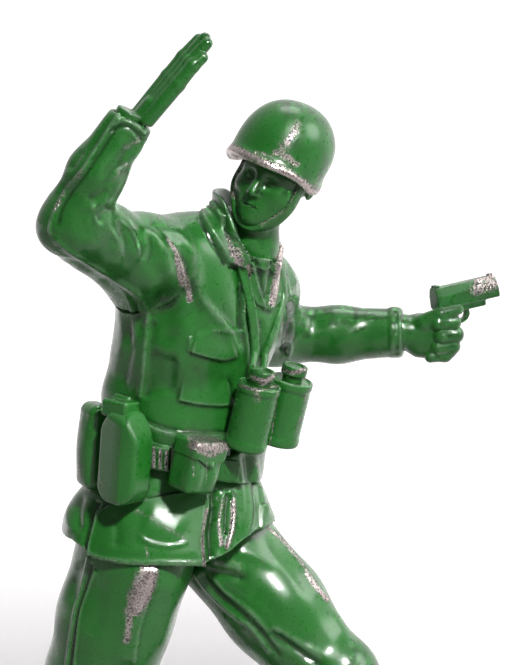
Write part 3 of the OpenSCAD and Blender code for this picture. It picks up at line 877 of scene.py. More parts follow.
def flap_f(p):
    q = p - A(0, -16.7, 8.6)
    d = box(q, (-0.3, 0.0, -0.5), (2.75, 1.9, 1.5), None, 0.55)
    d = smin(d, box(q, (-0.6, 1.0, 0.7), (1.8, 0.7, 1.0), None, 0.5), 0.4)
    return d


POUCH = Frame(TORSO.R @ rz(3), TORSO.out([-6.9, -10.2, -1.3]) + np.array([-0.5, 0, 0.5]))


def pouch_f(p):
    k = 1 + 0.022 * (3.0 - p[:, 2])
    q = np.stack([p[:, 0] * k, p[:, 1], p[:, 2]], 1)
    d = box(q, (-0.1, -2.45, -0.3), (4.0, 2.65, 4.5), None, 1.0)
    d = smin(d, ell(q, (1.6, -3.6, -1.8), (2.3, 2.0, 2.8)), 0.8)
    d = smin(d, ell(q, (-2.0, -3.3, -1.8), (2.0, 2.0, 2.8)), 0.8)
    edge = 0.55 - 1.5 * np.maximum(0, 1 - np.abs(q[:, 0] - 0.2) / 3.4)
    f = box(q, (-0.05, -2.6, 1.9), (4.2, 2.9, 2.75), None, 1.0)
    f = smax(f, edge + 0.9 - q[:, 2], 0.3)
    d = smin(d, f, 0.15)
    return smin(d, ell(q, (0.2, -5.6, 0.75), (0.5, 0.3, 0.5)), 0.15)


def keeper_f(p):
    d = np.abs(torso_core(p) - 1.3) - 0.5
    x = np.abs(p[:, 0] + 11.2)
    d = smax(d, smax(x - 1.5, np.abs(p[:, 2] + 3.5) - 2.35, 0.4), 0.3)
    return smax(d, p[:, 1], 0.2) + 0.12 * np.cos(p[:, 0] * 5.2)


def buckle_f(p):
    d = np.abs(torso_core(p) - 1.05) - 0.5
    d = smax(d, smax(np.abs(p[:, 0] + 0.4) - 2.3, np.abs(p[:, 2] + 1.6) - 2.0, 0.9), 0.5)
    d = smax(d, p[:, 1], 0.2)
    return d


def boot_frame(heel, toe):
    d = np.array(toe, float) - np.array(heel, float)
    return Frame(frame_of([0, 0, 1], d), [heel[0], heel[1], BASE_T]), np.linalg.norm(d)


BOOTS = {"right": boot_frame((-33.2, 9.6, 0), (-27.2, -7, 0)), "left": boot_frame((21.6, 2.6, 0), (34.6, -6.8, 0))}


def boot_f(p, L, ankle):
    """Heel at the origin, toe along +x, ground at z 0."""
    x0, x1 = -2.9, L + 2.6
    d = smin(ell(p, (1.0, 0, 3.6), (4.4, 3.5, 4.4)), ell(p, (L * 0.62, 0, 2.6), (L * 0.52, 3.6, 3.0)), 3.2)
    d = smin(d, ell(p, (L - 0.4, 0, 2.0), (3.4, 3.35, 2.6)), 1.6)
    d = smin(d, cap(p, (L * 0.36, 0, 5.0), tuple(ankle), 3.7, 4.7), 2.4)
    for z in (8.6, 10.4):
        d = smin(d, ell(p, (L * 0.36, 0, z), (4.7, 4.5, 0.9)), 1.4)
    u = (p[:, 0] - x0) / (x1 - x0)
    wid = 3.15 + 0.75 * np.sin(np.clip(u, 0, 1) * math.pi * 1.05 - 0.1) ** 2 - 0.3 * np.exp(-((u - 0.42) / 0.16) ** 2)
    c = cap(np.stack([p[:, 0], p[:, 1], np.zeros(len(p), f32)], 1), (0.4, 0, 0), (L - 0.7, 0, 0), 3.2) + 3.2
    sole = smax(c - wid, np.abs(p[:, 2] - 0.75) - 0.75, 0.3)
    heelb = smax(smax(c - 3.15, p[:, 0] - 2.6, 0.4), np.abs(p[:, 2] - 0.9) - 0.95, 0.3)
    d = smax(d, -p[:, 2], 0.3)
    d = smin(d, smin(sole, heelb, 0.3), 0.2)
    tongue = cap(p, (L * 0.36 + 3.6, 0, 10.4), (L * 0.66, 0, 4.9), 0.9)
    d = smin(d, tongue, 1.0)
    for k in range(5):
        c0 = np.array([L * 0.36 + 4.0, 0, 10.0]) * (1 - k / 4.4) + np.array([L * 0.68, 0, 5.3]) * (k / 4.4)
        for s in (1, -1):
            d = smin(d, cap(p, tuple(c0 + (0.1, -1.5 * s, 0.05)), tuple(c0 + (0.35, 1.5 * s, -0.75)), 0.27), 0.12)
    return smax(d, p[:, 2] - (ankle[2] + 0.6), 0.5)


def ground_f(p):
    r, x = 20.0, 22.0
    q = np.stack([np.maximum(np.abs(p[:, 0]) - x, 0), p[:, 1]], 1)
    rad = np.hypot(q[:, 0], q[:, 1])
    bump = 0.28 * np.sin(p[:, 0] * 0.42 + 1.1) * np.sin(p[:, 1] * 0.5 + 0.4) + 0.16 * np.sin(p[:, 0] * 0.95 + 2) * np.sin(p[:, 1] * 0.8)
    edge = sstep(0, 5.0, (r - 1.0) - rad)
    top = p[:, 2] - (BASE_T - 0.25 + bump * edge)
    wall = rad - (r - 0.1 - 0.34 * np.maximum(p[:, 2], 0))
    d = smax(wall, top, 1.3)
    return smax(d, -p[:, 2], 0.3)


# ---------------------------------------------------------------- paint
def paint(name, base, metal, rough, coat, wear_gain=1.0, speck=3900.0, seed=0.0, dark=0.55):
    """Gloss enamel over cast metal: the wear attribute lets the metal through in speckles, for wear and for a few
    painted highlights; the green carries painted shade in creases and hollows and a painted highlight on ridges.
    """
    m = bpy.data.materials.new(name)
    m.use_nodes = True
    nt = m.node_tree
    N, Lk = nt.nodes, nt.links
    N.clear()

    def nd(kind, **kw):
        n = N.new(kind)
        for k, v in kw.items():
            setattr(n, k, v)
        return n

    def math_(op, a, b=None, clamp=False):
        n = nd("ShaderNodeMath", operation=op, use_clamp=clamp)
        for i, x in enumerate((a, b)):
            if x is None:
                continue
            if isinstance(x, (int, float)):
                n.inputs[i].default_value = x
            else:
                Lk.new(x, n.inputs[i])
        return n.outputs[0]

    def ramp(x, lo, hi, a=0.0, b=1.0):
        n = nd("ShaderNodeMapRange", interpolation_type="SMOOTHSTEP")
        n.inputs[1].default_value, n.inputs[2].default_value = lo, hi
        n.inputs[3].default_value, n.inputs[4].default_value = a, b
        Lk.new(x, n.inputs[0])
        return n.outputs[0]

    def mix(f, a, b):
        n = nd("ShaderNodeMix", data_type="RGBA")
        Lk.new(f, n.inputs[0])
        for i, x in ((6, a), (7, b)):
            if isinstance(x, tuple):
                n.inputs[i].default_value = (*x, 1)
            else:
                Lk.new(x, n.inputs[i])
        return n.outputs[2]

    out = nd("ShaderNodeOutputMaterial")
    bs = nd("ShaderNodeBsdfPrincipled")
    Lk.new(bs.outputs[0], out.inputs[0])
    tc = nd("ShaderNodeTexCoord")

    def noise(scale, detail, rough_=0.55, stretch=None):
        mp = nd("ShaderNodeMapping")
        mp.inputs["Location"].default_value = (seed, seed * 0.7, seed * 1.3)
        if stretch:
            mp.inputs["Scale"].default_value = stretch
        Lk.new(tc.outputs["Object"], mp.inputs[0])
        n = nd("ShaderNodeTexNoise")
        n.inputs["Scale"].default_value = scale
        n.inputs["Detail"].default_value = detail
        n.inputs["Roughness"].default_value = rough_
        Lk.new(mp.outputs[0], n.inputs["Vector"])
        return n.outputs[0]

    def attr(a):
        n = nd("ShaderNodeAttribute", attribute_name=a)
        return n.outputs["Fac"]

    wear_and_glint, crease_shade, ridge, hollow = attr("wear_and_glint"), attr("crease_shade"), attr("ridge"), attr("hollow")
    fine, mid, big = noise(speck, 3, 0.6), noise(900, 4), noise(140, 3)
    brush = noise(2700, 2, 0.6)
    # how far the paint has gone
    g = math_("MULTIPLY", ridge, ramp(big, 0.40, 0.70, 0.0, 0.42))
    w = math_("ADD", math_("MULTIPLY", wear_and_glint, wear_gain), g)
    w = math_("ADD", w, math_("MULTIPLY", math_("SUBTRACT", fine, 0.5), 1.15))
    w = math_("ADD", w, math_("MULTIPLY", math_("SUBTRACT", mid, 0.5), 0.85))
    bare = ramp(w, 0.42, 0.74)
    halo = math_("MULTIPLY", ramp(w, 0.12, 0.5), ramp(math_("ADD", wear_and_glint, ridge), 0.04, 0.35))
    # the green: uneven at random; painted shade darkens it in broad hollows and in creases, and ridges are lighter,
    # partly from thinner paint over the edges and partly a painted edge highlight
    green = mix(ramp(big, 0.3, 0.7), tuple(c * 0.92 for c in base), tuple(c * 1.08 for c in base))
    green = mix(ramp(mid, 0.42, 0.75, 0.0, 0.3), green, tuple(c * 0.74 for c in base))
    green = mix(ramp(brush, 0.5, 0.72, 0.0, 0.2), green, tuple(c * 1.25 + 0.006 for c in base))
    # painted shade: darker green in broad hollows
    green = mix(math_("MULTIPLY", hollow, 0.6), green, tuple(c * 0.42 for c in base))
    # painted shade: darker green in creases and recesses
    green = mix(math_("MULTIPLY", crease_shade, 0.9), green, tuple(c * dark * 0.45 for c in base))
    # lighter along ridges: thinner paint there, and a painted edge highlight
    green = mix(math_("MULTIPLY", ramp(ridge, 0.1, 0.9), ramp(mid, 0.3, 0.65, 0.25, 0.75)), green, tuple(c * 0.9 + 0.075 for c in base))
    green = mix(math_("MULTIPLY", halo, 0.45), green, tuple(c * 0.55 + 0.03 for c in base))
    even = ramp(wear_and_glint, 0.75, 1.2)
    wave = noise(1500, 3, 0.6)
    steel = mix(ramp(brush, 0.34, 0.6), tuple(c * 0.2 for c in metal), tuple(c * 1.0 for c in metal))
    steel = mix(ramp(mid, 0.48, 0.72, 0.0, 0.65), steel, tuple(c * 0.22 for c in metal))
    steel = mix(math_("MULTIPLY", even, 0.6), steel, tuple(min(c * 1.2, 1.0) for c in metal))
    Lk.new(mix(bare, green, steel), bs.inputs["Base Color"])
    Lk.new(math_("MULTIPLY", bare, 0.92), bs.inputs["Metallic"])
    r = ramp(mid, 0.3, 0.75, rough * 0.85, rough * 1.3)
    rb = ramp(brush, 0.3, 0.7, 0.19, 0.38)
    rmix = nd("ShaderNodeMix", data_type="FLOAT")
    Lk.new(bare, rmix.inputs[0])
    Lk.new(r, rmix.inputs[2])
    Lk.new(rb, rmix.inputs[3])
    Lk.new(rmix.outputs[0], bs.inputs["Roughness"])
    bs.inputs["IOR"].default_value = 1.48
    Lk.new(math_("MULTIPLY", math_("SUBTRACT", 1.0, bare), coat), bs.inputs["Coat Weight"])
    bs.inputs["Coat Roughness"].default_value = 0.16
    b1 = nd("ShaderNodeBump")
    b1.inputs["Strength"].default_value = 0.2
    b1.inputs["Distance"].default_value = 0.00002
    Lk.new(big, b1.inputs["Height"])
    b2 = nd("ShaderNodeBump")
    b2.inputs["Strength"].default_value = 0.3
    b2.inputs["Distance"].default_value = 0.000012
    Lk.new(math_("ADD", mid, math_("MULTIPLY", brush, 0.7)), b2.inputs["Height"])
    Lk.new(b1.outputs[0], b2.inputs["Normal"])
    b3 = nd("ShaderNodeBump")
    b3.inputs["Strength"].default_value = 0.6
    b3.inputs["Distance"].default_value = 0.00007
    grain = math_("MULTIPLY", ramp(fine, 0.3, 0.7, 0.3, 1.0), math_("SUBTRACT", 1.0, math_("MULTIPLY", even, 0.8)))
    grain = math_("ADD", grain, math_("MULTIPLY", wave, 0.8))
    Lk.new(math_("SUBTRACT", 1.0, math_("MULTIPLY", bare, grain)), b3.inputs["Height"])
    Lk.new(b2.outputs[0], b3.inputs["Normal"])
    Lk.new(b3.outputs[0], bs.inputs["Normal"])
    return m


GREEN = (0.0125, 0.116, 0.0135)
STEEL = (0.60, 0.52, 0.50)
ENAMEL = paint("green_enamel", GREEN, STEEL, 0.30, 0.45)
WORN = paint("worn_enamel", tuple(c * 0.8 for c in GREEN), STEEL, 0.30, 0.15, 1.0, 3300.0, 0.013)
BARE = paint("bare_metal", (0.50, 0.48, 0.45), STEEL, 0.36, 0.0, 1.0, 3000.0, 0.02)


def make(name, s, body, nodes, mat):
    """A sculpt as a piece of the object that stands for these nodes."""
    v, q = s.v, s.q
    e = links(q)
    n = vnormals(v, q)
    # measures for the paint: how deep each point lies in a crease and in a broad hollow, for painted shade there, and
    # how sharp a ridge it is on, for edge wear and a painted edge highlight
    sm = blur(v, e, len(v), 7)
    d = ((sm - v) * n).sum(1)
    crease_shade = blur(sstep(0.004, 0.07, d), e, len(v), 2)
    ridge = blur(sstep(0.008, 0.07, -d), e, len(v), 1)
    wide = blur(sm, e, len(v), 18)
    hollow = blur(sstep(0.02, 0.3, ((wide - v) * n).sum(1)), e, len(v), 3)
    me = bpy.data.meshes.new(name)
    me.vertices.add(len(v))
    me.vertices.foreach_set("co", (v * 0.001).astype(f32).ravel())
    me.loops.add(q.size)
    me.loops.foreach_set("vertex_index", q.astype(np.int32).ravel())
    me.polygons.add(len(q))
    me.polygons.foreach_set("loop_start", np.arange(0, q.size, q.shape[1], dtype=np.int32))
    me.polygons.foreach_set("loop_total", np.full(len(q), q.shape[1], np.int32))
    me.update(calc_edges=True)
    me.shade_smooth()
    me.set_sharp_from_angle(angle=0.95)
    for key, val in (("wear_and_glint", s.wear_and_glint), ("crease_shade", crease_shade), ("ridge", ridge), ("hollow", hollow)):
        me.attributes.new(key, "FLOAT", "POINT").data.foreach_set("value", np.clip(val, 0, 2).astype(f32))
    me.validate()
    o = bpy.data.objects.new(name, me)
    bpy.context.scene.collection.objects.link(o)
    me.materials.append(mat)
    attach(o, body)
    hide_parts(*nodes)
    return o


def boxed(pts, m):
    pts = np.asarray(pts, float)
    return pts.min(0) - m, pts.max(0) + m


# ---------------------------------------------------------------- the pieces
S = {}
CUT_R, CUT_L = (lambda p: joint_cone(p, SHR, -1, 0.0)), (lambda p: joint_cone(p, SHL, 1, 0.0))
CUT_R2, CUT_L2 = (lambda p: joint_cone(p, SHR, -1, 0.03)), (lambda p: joint_cone(p, SHL, 1, 0.03))
S["jacket"] = sculpt(torso_f, (-20, -15, -6.5), (18, 16, 43), 0.36, TORSO, edges=((upper, CUT_R), (upper, CUT_L)))
S["right_sleeve"] = sculpt(right_sleeve_f, (-47, -12, 22), (-14, 9, 57), 0.32, TORSO, edges=((upper, CUT_R2),))
S["left_sleeve"] = sculpt(left_sleeve_f, (11, -10, 7), (48, 21, 36), 0.32, TORSO, edges=((upper, CUT_L2),))
S["right_hand"] = sculpt(right_hand_f, (-42, -17, 53), (-20, 2, 76), 0.2, TORSO)
S["left_hand"] = sculpt(left_hand_f, (24, 26, 97), (46, 40, 113), 0.2, GROUND)
S["pistol"] = sculpt(pistol_f, (34, 28, 98), (52, 42, 116), 0.16, GROUND)
S["right_trousers"] = sculpt(leg_r_f, (-40, -14, 12.4), (0, 18, 86), 0.42, GROUND)
S["left_trousers"] = sculpt(leg_l_f, (-14, -10, 12.4), (34, 20, 86), 0.42, GROUND)
S["jacket_skirt"] = sculpt(skirt_f, (-32, -18, 70), (14, 24, 93), 0.36, GROUND)
S["belt"] = sculpt(belt_f, (-17, -16, -6.2), (17, 15, 2.6), 0.24, TORSO)
S["head"] = sculpt(head_f, (-9, -11, -5.5), (9, 10, 25), 0.2, HEAD)
S["barrels"] = sculpt(barrel_f, *boxed(np.concatenate([B.out([[-4, -4, -1], [4, 4, 12], [4, -4, -1], [-4, 4, 12]]) for B in BARREL]), 1.5), 0.22)
S["eyepieces"] = sculpt(eyepiece_f, *boxed(np.concatenate([B.out([[-2.4, -2.4, 10.5], [2.4, 2.4, 14], [2.4, -2.4, 10.5], [-2.4, 2.4, 14]]) for B in BARREL]), 1), 0.16)
S["bridge"] = sculpt(bridge_f, (1, -12, 90), (16, 5, 108), 0.2)
S["canteen"] = sculpt(canteen_f, (-6, -22, -9.5), (6, -12.5, 9.5), 0.24, hip_frame(36))
S["canteen_cup"] = sculpt(canteen_b_f, (-5, -20, -9), (5, -12.5, 9), 0.24, hip_frame(67))
S["canteen_flap"] = sculpt(flap_f, (-4.5, -20, 6.5), (4.5, -13, 11.5), 0.2, hip_frame(40))
S["pouch"] = sculpt(pouch_f, (-6, -7.5, -6), (6, 1.2, 6.5), 0.2, POUCH)
S["buckle"] = sculpt(buckle_f, (-4, -17, -4.5), (5, -8, 1.2), 0.16, TORSO)
for side, ank in (("right", ANR), ("left", ANL)):
    fr, L = BOOTS[side]
    al = fr.into(ank)
    S[side + "_boot"] = sculpt(lambda p, L=L, al=al: boot_f(p, L, al), (-6, -7, -0.5), (L + 6, 7, 12), 0.26, fr)
S["ground"] = sculpt(ground_f, (-43, -21, -0.5), (43, 21, 5), 0.5, GROUND)


# ---------------------------------------------------------------- helmet and straps
def helmet_sculpt():
    nphi, nt = ((360, 110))
    phi = np.linspace(0, 2 * math.pi, nphi, endpoint=False)      # 0 at the brow, + to the left
    front, back = np.cos(phi), -np.cos(phi)
    zr = 12.6 + 1.9 * sstep(0.1, 1.0, front) - 0.4 * np.exp(-((phi - math.pi / 2) / 0.5) ** 2) - 0.4 * np.exp(-((phi - 1.5 * math.pi) / 0.5) ** 2) + 1.0 * sstep(0.0, 0.9, back)
    R = 1 / np.sqrt((np.sin(phi) / 8.9) ** 2 + (np.cos(phi) / np.where(front > 0, 9.4, 9.3)) ** 2)
    zt, z0 = 25.3, 11.4
    u = np.linspace(0, 1, nt)
    rows, rows_in = [], []
    for inner in (0, 1):
        zt_, R_ = (zt - 0.9, R - 0.85) if inner else (zt, R)
        zz = zr[None, :] + (zt_ - zr[None, :]) * np.sin(u * math.pi / 2)[:, None]
        k = np.clip((zz - z0) / (zt_ - z0), 0, 1)
        rr = R_[None, :] * np.clip(1 - k ** 2.7, 0, 1) ** (1 / 2.3)
        tuck = np.exp(-((phi - 2.1) / 0.9) ** 2)
        rr = rr - 1.5 * tuck[None, :] * np.exp(-((zz - zr[None, :]) / 4.5) ** 2)
        rr = rr + (0.8 if inner else 1) * (0.9 * front.clip(0.3, 1)[None, :] * np.exp(-((zz - zr[None, :]) / 1.25) ** 2))
        x, y = rr * np.sin(phi)[None, :], -rr * np.cos(phi)[None, :] + 0.3
        P = np.stack([x, y, zz], -1)
        (rows_in if inner else rows).extend(P)
    # up the inside to the rim, over a rounded bead, and up the outside
    n_in = rows_in[::-1]
    o0, i0 = rows[0], rows_in[0]
    mid = (o0 + i0) / 2
    c = o0 - i0
    bead = []
    for a in np.linspace(math.pi, 2 * math.pi, 7)[1:-1]:
        bead.append(mid + c / 2 * math.cos(a) + np.array([0, 0, 0.5]) * math.sin(a))
    rings = n_in[1:] + bead + rows[:-1]
    V = np.concatenate(rings)
    m = len(rings)
    idx = np.arange(m * nphi).reshape(m, nphi)
    nxt = np.roll(idx, -1, 1)
    Q = np.stack([idx[:-1], nxt[:-1], nxt[1:], idx[1:]], -1).reshape(-1, 4)
    tops = np.array([[0, 0.3, zt - 0.9], [0, 0.3, zt]])
    V = np.concatenate([V, tops])
    half = nphi // 2
    fan = []
    for ring, apex, flip in ((idx[0], m * nphi, True), (idx[-1], m * nphi + 1, False)):
        for j in range(0, nphi, 2):
            f = [ring[j], ring[(j + 1) % nphi], ring[(j + 2) % nphi], apex]
            fan.append(f[::-1] if flip else f)
    Q = np.concatenate([Q, np.array(fan)])
    v = SKULL.out(V)
    n = vnormals(v, Q)
    # the outside has to face out
    k = (len(n_in) - 1 + len(bead)) * nphi + 5 * nphi
    if ((v[k] - SKULL.out([0, 0.3, 14])) * n[k]).sum() < 0:
        Q = Q[:, ::-1]
        n = -n
    s = Sculpt(v, Q, n)
    ang = np.concatenate([np.tile(phi, m), [0, 0]])
    s.rim = np.concatenate([np.repeat(np.arange(m), nphi), [0, m]]) - len(n_in)
    s.ang = ang
    return s


S["helmet"] = helmet_sculpt()


def chin_f(p):
    q = p - ASIDE.astype(f32)
    shell = np.abs(skull_f(q) - 0.3) - 0.36
    r = q - A(0, -4.3, 7.4)
    c, s_ = math.cos(math.radians(-14)), math.sin(math.radians(-14))
    y = r[:, 1] * c + r[:, 2] * s_
    d = smax(shell, np.abs(y) - 0.8, 0.25)
    return smax(d, q[:, 2] - 12.6, 0.2)


S["chin_strap"] = sculpt(chin_f, (-8, -10, 1.5), (8, 2, 13), 0.2, SKULL)


def strap_f(p):
    d = np.abs(torso_core(p) - 0.3) - 0.45
    w = None
    for line in STRANDS:
        c = chain(p, line, [0.85] * len(line), 0.3)
        w = c if w is None else np.minimum(w, c)
    d = smax(d, w, 0.3)
    ends = None
    for line, e in zip(STRANDS, STRAP_ENDS):
        c = cap(p, line[-1], e, 0.62)
        ends = c if ends is None else np.minimum(ends, c)
    return smin(d, ends, 0.4)


def on_chest(pts):
    return [tuple(TORSO.into(hit(x, y, torso_core, TORSO, lift=0.3))) for x, y in pts]


STRANDS = [on_chest([(240, 262), (246, 285), (251, 308), (254, 332), (255, 352)]), on_chest([(281, 270), (284, 297), (279, 317), (272, 336), (265, 354)])]
STRAP_ENDS = [tuple(TORSO.into(BARREL[0].out([-0.2, 2.2, 11.2]))), tuple(TORSO.into(BARREL[0].out([2.4, 2.0, 11.2])))]
S["strap"] = sculpt(strap_f, (-8, -17, 8), (14, 0, 40), 0.22, TORSO)


# ---------------------------------------------------------------- folds, seams and wear of the jacket
def strokes(keys, rows, soft=1.0):
    """Each row: places in the picture, width, height (mm), and options."""
    for k in keys:
        for pts, w, h, *opt in rows:
            S[k].line(pts, w * (2 - soft), h * soft, **(opt[0] if opt else {}))


# bare-metal blots: most are wear, and the ones noted where they stand are painted highlights
def worn(keys, rows):
    for k in keys:
        for pts, w, a in rows:
            S[k].blot(pts, w, a)


COAT = ("jacket", "right_sleeve")
strokes(COAT, [
    # gathers round the raised shoulder
    ([(113, 213), (124, 222), (132, 234), (137, 247), (136, 268)], 0.75, 0.5),
    ([(124, 214), (139, 224), (149, 238), (152, 254), (150, 274)], 0.8, -0.45),
    ([(135, 219), (152, 234), (163, 250), (168, 268), (166, 288)], 0.8, 0.55),
    ([(118, 226), (125, 238), (127, 254), (124, 272)], 0.7, -0.4),
    ([(104, 220), (112, 232), (116, 246), (112, 258)], 0.8, 0.35),
    ([(112, 205), (106, 214), (96, 222)], 0.9, -0.6),
    ([(150, 222), (166, 234), (176, 248)], 0.7, -0.35),
    ([(165, 222), (182, 236), (192, 254), (198, 276), (202, 295)], 1.0, 0.6),
    ([(176, 246), (187, 264), (191, 284), (195, 300)], 0.7, -0.5),
    ([(169, 240), (175, 252), (181, 266), (184, 282), (190, 300)], 0.55, 0.55),
    ([(150, 262), (160, 276), (162, 292), (156, 306)], 1.2, -0.4),
    # the long fold across the chest
    ([(192, 262), (196, 284), (202, 297), (214, 313), (227, 328), (235, 345), (238, 366)], 0.8, 0.62, {"tap": 0.15}),
    ([(204, 290), (214, 303), (228, 318), (240, 334)], 1.0, -0.35),
    ([(186, 284), (194, 302), (206, 318)], 1.2, -0.4),
    # the sleeve's underside and the side seam
    ([(52, 236), (66, 249), (80, 258), (103, 272), (126, 286), (140, 297), (148, 312), (148, 330)], 0.42, 0.5, {"tap": 0.06}),
    ([(50, 242), (66, 256), (80, 265), (101, 279), (122, 293), (134, 304), (139, 322)], 0.5, -0.45, {"tap": 0.08}),
    ([(106, 282), (124, 294), (133, 308), (135, 330), (132, 352)], 0.45, 0.4),
    ([(148, 312), (146, 340), (143, 372), (139, 402)], 0.5, 0.42, {"tap": 0.08}),
    ([(152, 316), (151, 340), (149, 372), (146, 402)], 0.8, -0.45, {"tap": 0.1}),
    ([(128, 318), (130, 345), (125, 372), (122, 396)], 0.9, -0.5),
    ([(120, 300), (123, 330), (119, 360)], 0.7, 0.3),
    # soft drapes on the side of the chest
    ([(168, 284), (168, 306), (166, 330), (170, 352)], 1.8, -0.75),
    ([(170, 352), (171, 372), (168, 398)], 1.4, -0.6),
    ([(176, 350), (180, 364), (177, 396)], 0.8, 0.4),
    ([(154, 345), (156, 372), (153, 402)], 1.3, -0.7),
    ([(184, 306), (196, 322), (206, 336)], 1.6, -0.45),
], 0.85)
# pocket, yoke and front edge
J = S["jacket"]
J.plate([(129, 409), (142, 419), (154, 425), (168, 430), (181, 432.5), (204, 433.5), (228, 433), (228, 456), (196, 456), (168, 452), (150, 446), (129, 430)], 1.0, 0.45)
strokes(["jacket"], [
    ([(237, 356), (224, 360), (208, 357.5), (189, 352)], 0.5, 0.5, {"kind": "step", "w2": 2.6, "tap": 0.06}),
    ([(235, 404), (222, 406.5), (198, 405), (176, 400)], 0.5, 0.55, {"kind": "step", "w2": 4.0, "tap": 0.06}),
    ([(190, 336), (190, 344), (189, 352)], 0.5, 0.25, {"tap": 0.1}),
    ([(208, 331), (218, 330), (232, 331), (244, 330)], 0.5, 0.22, {"tap": 0.2}),
    ([(243, 284), (244, 300), (243, 318), (246, 334), (248, 352), (247, 368)], 0.35, 0.4, {"tap": 0.1}),
    ([(239, 286), (240, 302), (239, 318), (241, 332)], 0.35, -0.3, {"tap": 0.1}),
    ([(248, 284), (249, 300), (248, 318), (250, 336)], 0.3, -0.3, {"tap": 0.1}),
    ([(190, 366), (200, 380), (198, 396)], 1.0, -0.2),
    ([(222, 366), (226, 380), (222, 398)], 0.8, 0.2),
    ([(226, 374), (232, 388), (230, 402)], 0.7, -0.25),
])
for i in range(12):
    y = 287 + i * 4.0
    S["jacket"].line([(242.6 + 0.8 * math.sin(i * 1.7), y), (243.4 + 0.8 * math.sin(i * 1.7), y + 0.8)], 0.2, 0.2, tap=0)
# collar leaf, lapels, shirt
LEAF = [(199.5, 215), (203, 204), (208, 199), (214, 201), (225, 216), (225.4, 233), (231, 239.5), (241, 240.5), (253, 263), (246, 266.5), (228, 264)]
J.flat([(196, 216), (202, 198), (214, 197), (229, 215), (230, 236), (243, 238), (257, 265), (246, 270), (226, 268)], 1.6, 60)
J.plate(LEAF, 0.8, 0.28)
strokes(["jacket"], [
    ([(197.5, 216), (211, 241), (226, 266)], 0.25, -0.3, {"tap": 0.05}),
    ([(228, 267), (240, 269), (253, 266)], 0.22, -0.3, {"tap": 0.05}),
    ([(241, 242), (254, 267), (259, 290), (265, 311)], 0.3, 0.35, {"tap": 0.05}),
    ([(246, 246), (258, 268), (263, 288), (266, 302)], 0.4, -0.45, {"tap": 0.08}),
    ([(276, 240), (278, 254), (275, 276), (272, 298), (267, 312)], 0.34, 0.5, {"tap": 0.05}),
    ([(271, 243), (273, 256), (270, 276), (267, 298)], 0.4, -0.4, {"tap": 0.08}),
    ([(255, 267), (264, 269), (273, 267)], 0.3, 0.25, {"tap": 0.1}),
    ([(256, 270), (264, 272), (272, 270)], 0.25, -0.25, {"tap": 0.1}),
])
J.plate([(241, 266), (253, 265), (258, 288), (264, 309), (256, 304), (249, 290), (243, 284)], 0.35, 0.3)
J.plate([(279, 243), (284, 258), (285, 280), (280, 300), (270, 312), (274, 290), (277, 264)], 0.35, 0.3)
strokes(["jacket", "left_sleeve"], [
    ([(276, 240), (284, 254), (289, 272), (291, 290), (288, 304)], 0.4, 0.38),
    ([(281, 244), (290, 258), (295, 276), (296, 292)], 0.4, 0.42),
    ([(280, 250), (287, 264), (290, 280), (290, 296)], 0.35, -0.4),
    ([(287, 250), (294, 264), (297, 282)], 0.35, -0.35),
    ([(283, 274), (287, 292), (281, 312), (272, 334), (265, 360)], 0.5, 0.5, {"tap": 0.12}),
    ([(288, 300), (291, 318), (288, 334), (283, 358)], 0.7, -0.9, {"tap": 0.12}),
    ([(294, 306), (294, 322), (291, 344), (288, 362)], 0.35, 0.45),
    ([(277, 316), (280, 334), (276, 356)], 0.5, -0.3),
    ([(258, 316), (262, 330), (260, 350)], 0.6, -0.35),
])
strokes(["left_sleeve"], [
    # the stretched sleeve
    ([(297, 346), (314, 339), (325, 329), (331, 316)], 1.0, 0.32),
    ([(304, 352), (322, 346), (334, 336), (340, 322)], 1.0, -0.25),
    ([(330, 350), (346, 339), (356, 326), (362, 312)], 1.0, 0.32),
    ([(342, 354), (357, 345), (367, 331), (371, 318)], 1.0, -0.25),
    ([(366, 354), (380, 345), (388, 332), (391, 318)], 1.0, 0.28),
    ([(383, 353), (394, 343), (399, 331)], 0.5, 0.35),
    ([(300, 319), (322, 324), (345, 324), (364, 328)], 1.3, -0.3),
    ([(312, 312), (326, 314), (340, 311)], 0.8, 0.25),
    ([(352, 314), (364, 313), (376, 317)], 0.7, 0.25),
    ([(386, 309), (392, 305), (398, 309)], 0.7, 0.45),
    ([(396, 310), (397, 330), (396, 356)], 0.35, -0.35, {"tap": 0.05}),
], 0.65)
# forearm: mould line along the back and the slack at the inside
strokes(["right_sleeve"], [
    ([(124, 108), (112, 124), (103, 138), (92, 155), (82, 170), (66, 190), (55, 210), (50, 228), (52, 238)], 0.26, 0.34, {"tap": 0.04}),
    ([(126, 114), (116, 127), (108, 140), (97, 157), (87, 172), (72, 191), (61, 210), (57, 228)], 0.4, -0.34, {"tap": 0.05}),
    ([(112, 110), (100, 128), (92, 140), (86, 150)], 0.6, 0.25),
    ([(84, 148), (76, 160), (70, 172)], 0.6, -0.3),
    ([(72, 166), (62, 182), (54, 196)], 0.6, 0.3),
    ([(150, 134), (142, 146), (132, 158), (120, 172), (113, 186)], 0.5, 0.4),
    ([(140, 136), (130, 148), (118, 164), (108, 180), (104, 196)], 0.9, -0.35),
    ([(128, 130), (116, 150), (100, 172), (90, 190)], 1.0, 0.3),
    ([(110, 188), (98, 196), (84, 198)], 0.7, -0.35),
    ([(112, 196), (100, 206), (86, 210)], 0.7, 0.3),
    ([(84, 206), (80, 222), (90, 240)], 1.2, -0.25),
    ([(112, 128), (122, 121), (136, 125), (147, 137)], 0.3, 0.3, {"tap": 0.1}),
    ([(108, 132), (120, 126), (133, 130), (143, 143)], 0.35, -0.3, {"tap": 0.1}),
])
worn(COAT, [
    ([(169, 240), (175, 252), (181, 264)], 0.5, 0.9),
    ([(180, 260), (184, 274), (188, 288), (190, 300)], 0.6, 1.15),
    ([(175, 256), (178, 270), (181, 284)], 0.45, 0.95),
    ([(141, 139), (132, 145), (126, 149)], 0.7, 0.52),
    ([(126, 163), (118, 172), (113, 180)], 0.65, 0.42),
    ([(150, 134), (147, 142), (140, 152)], 0.5, 0.5),
    ([(82, 172), (66, 192), (56, 210)], 0.6, 0.42),
])
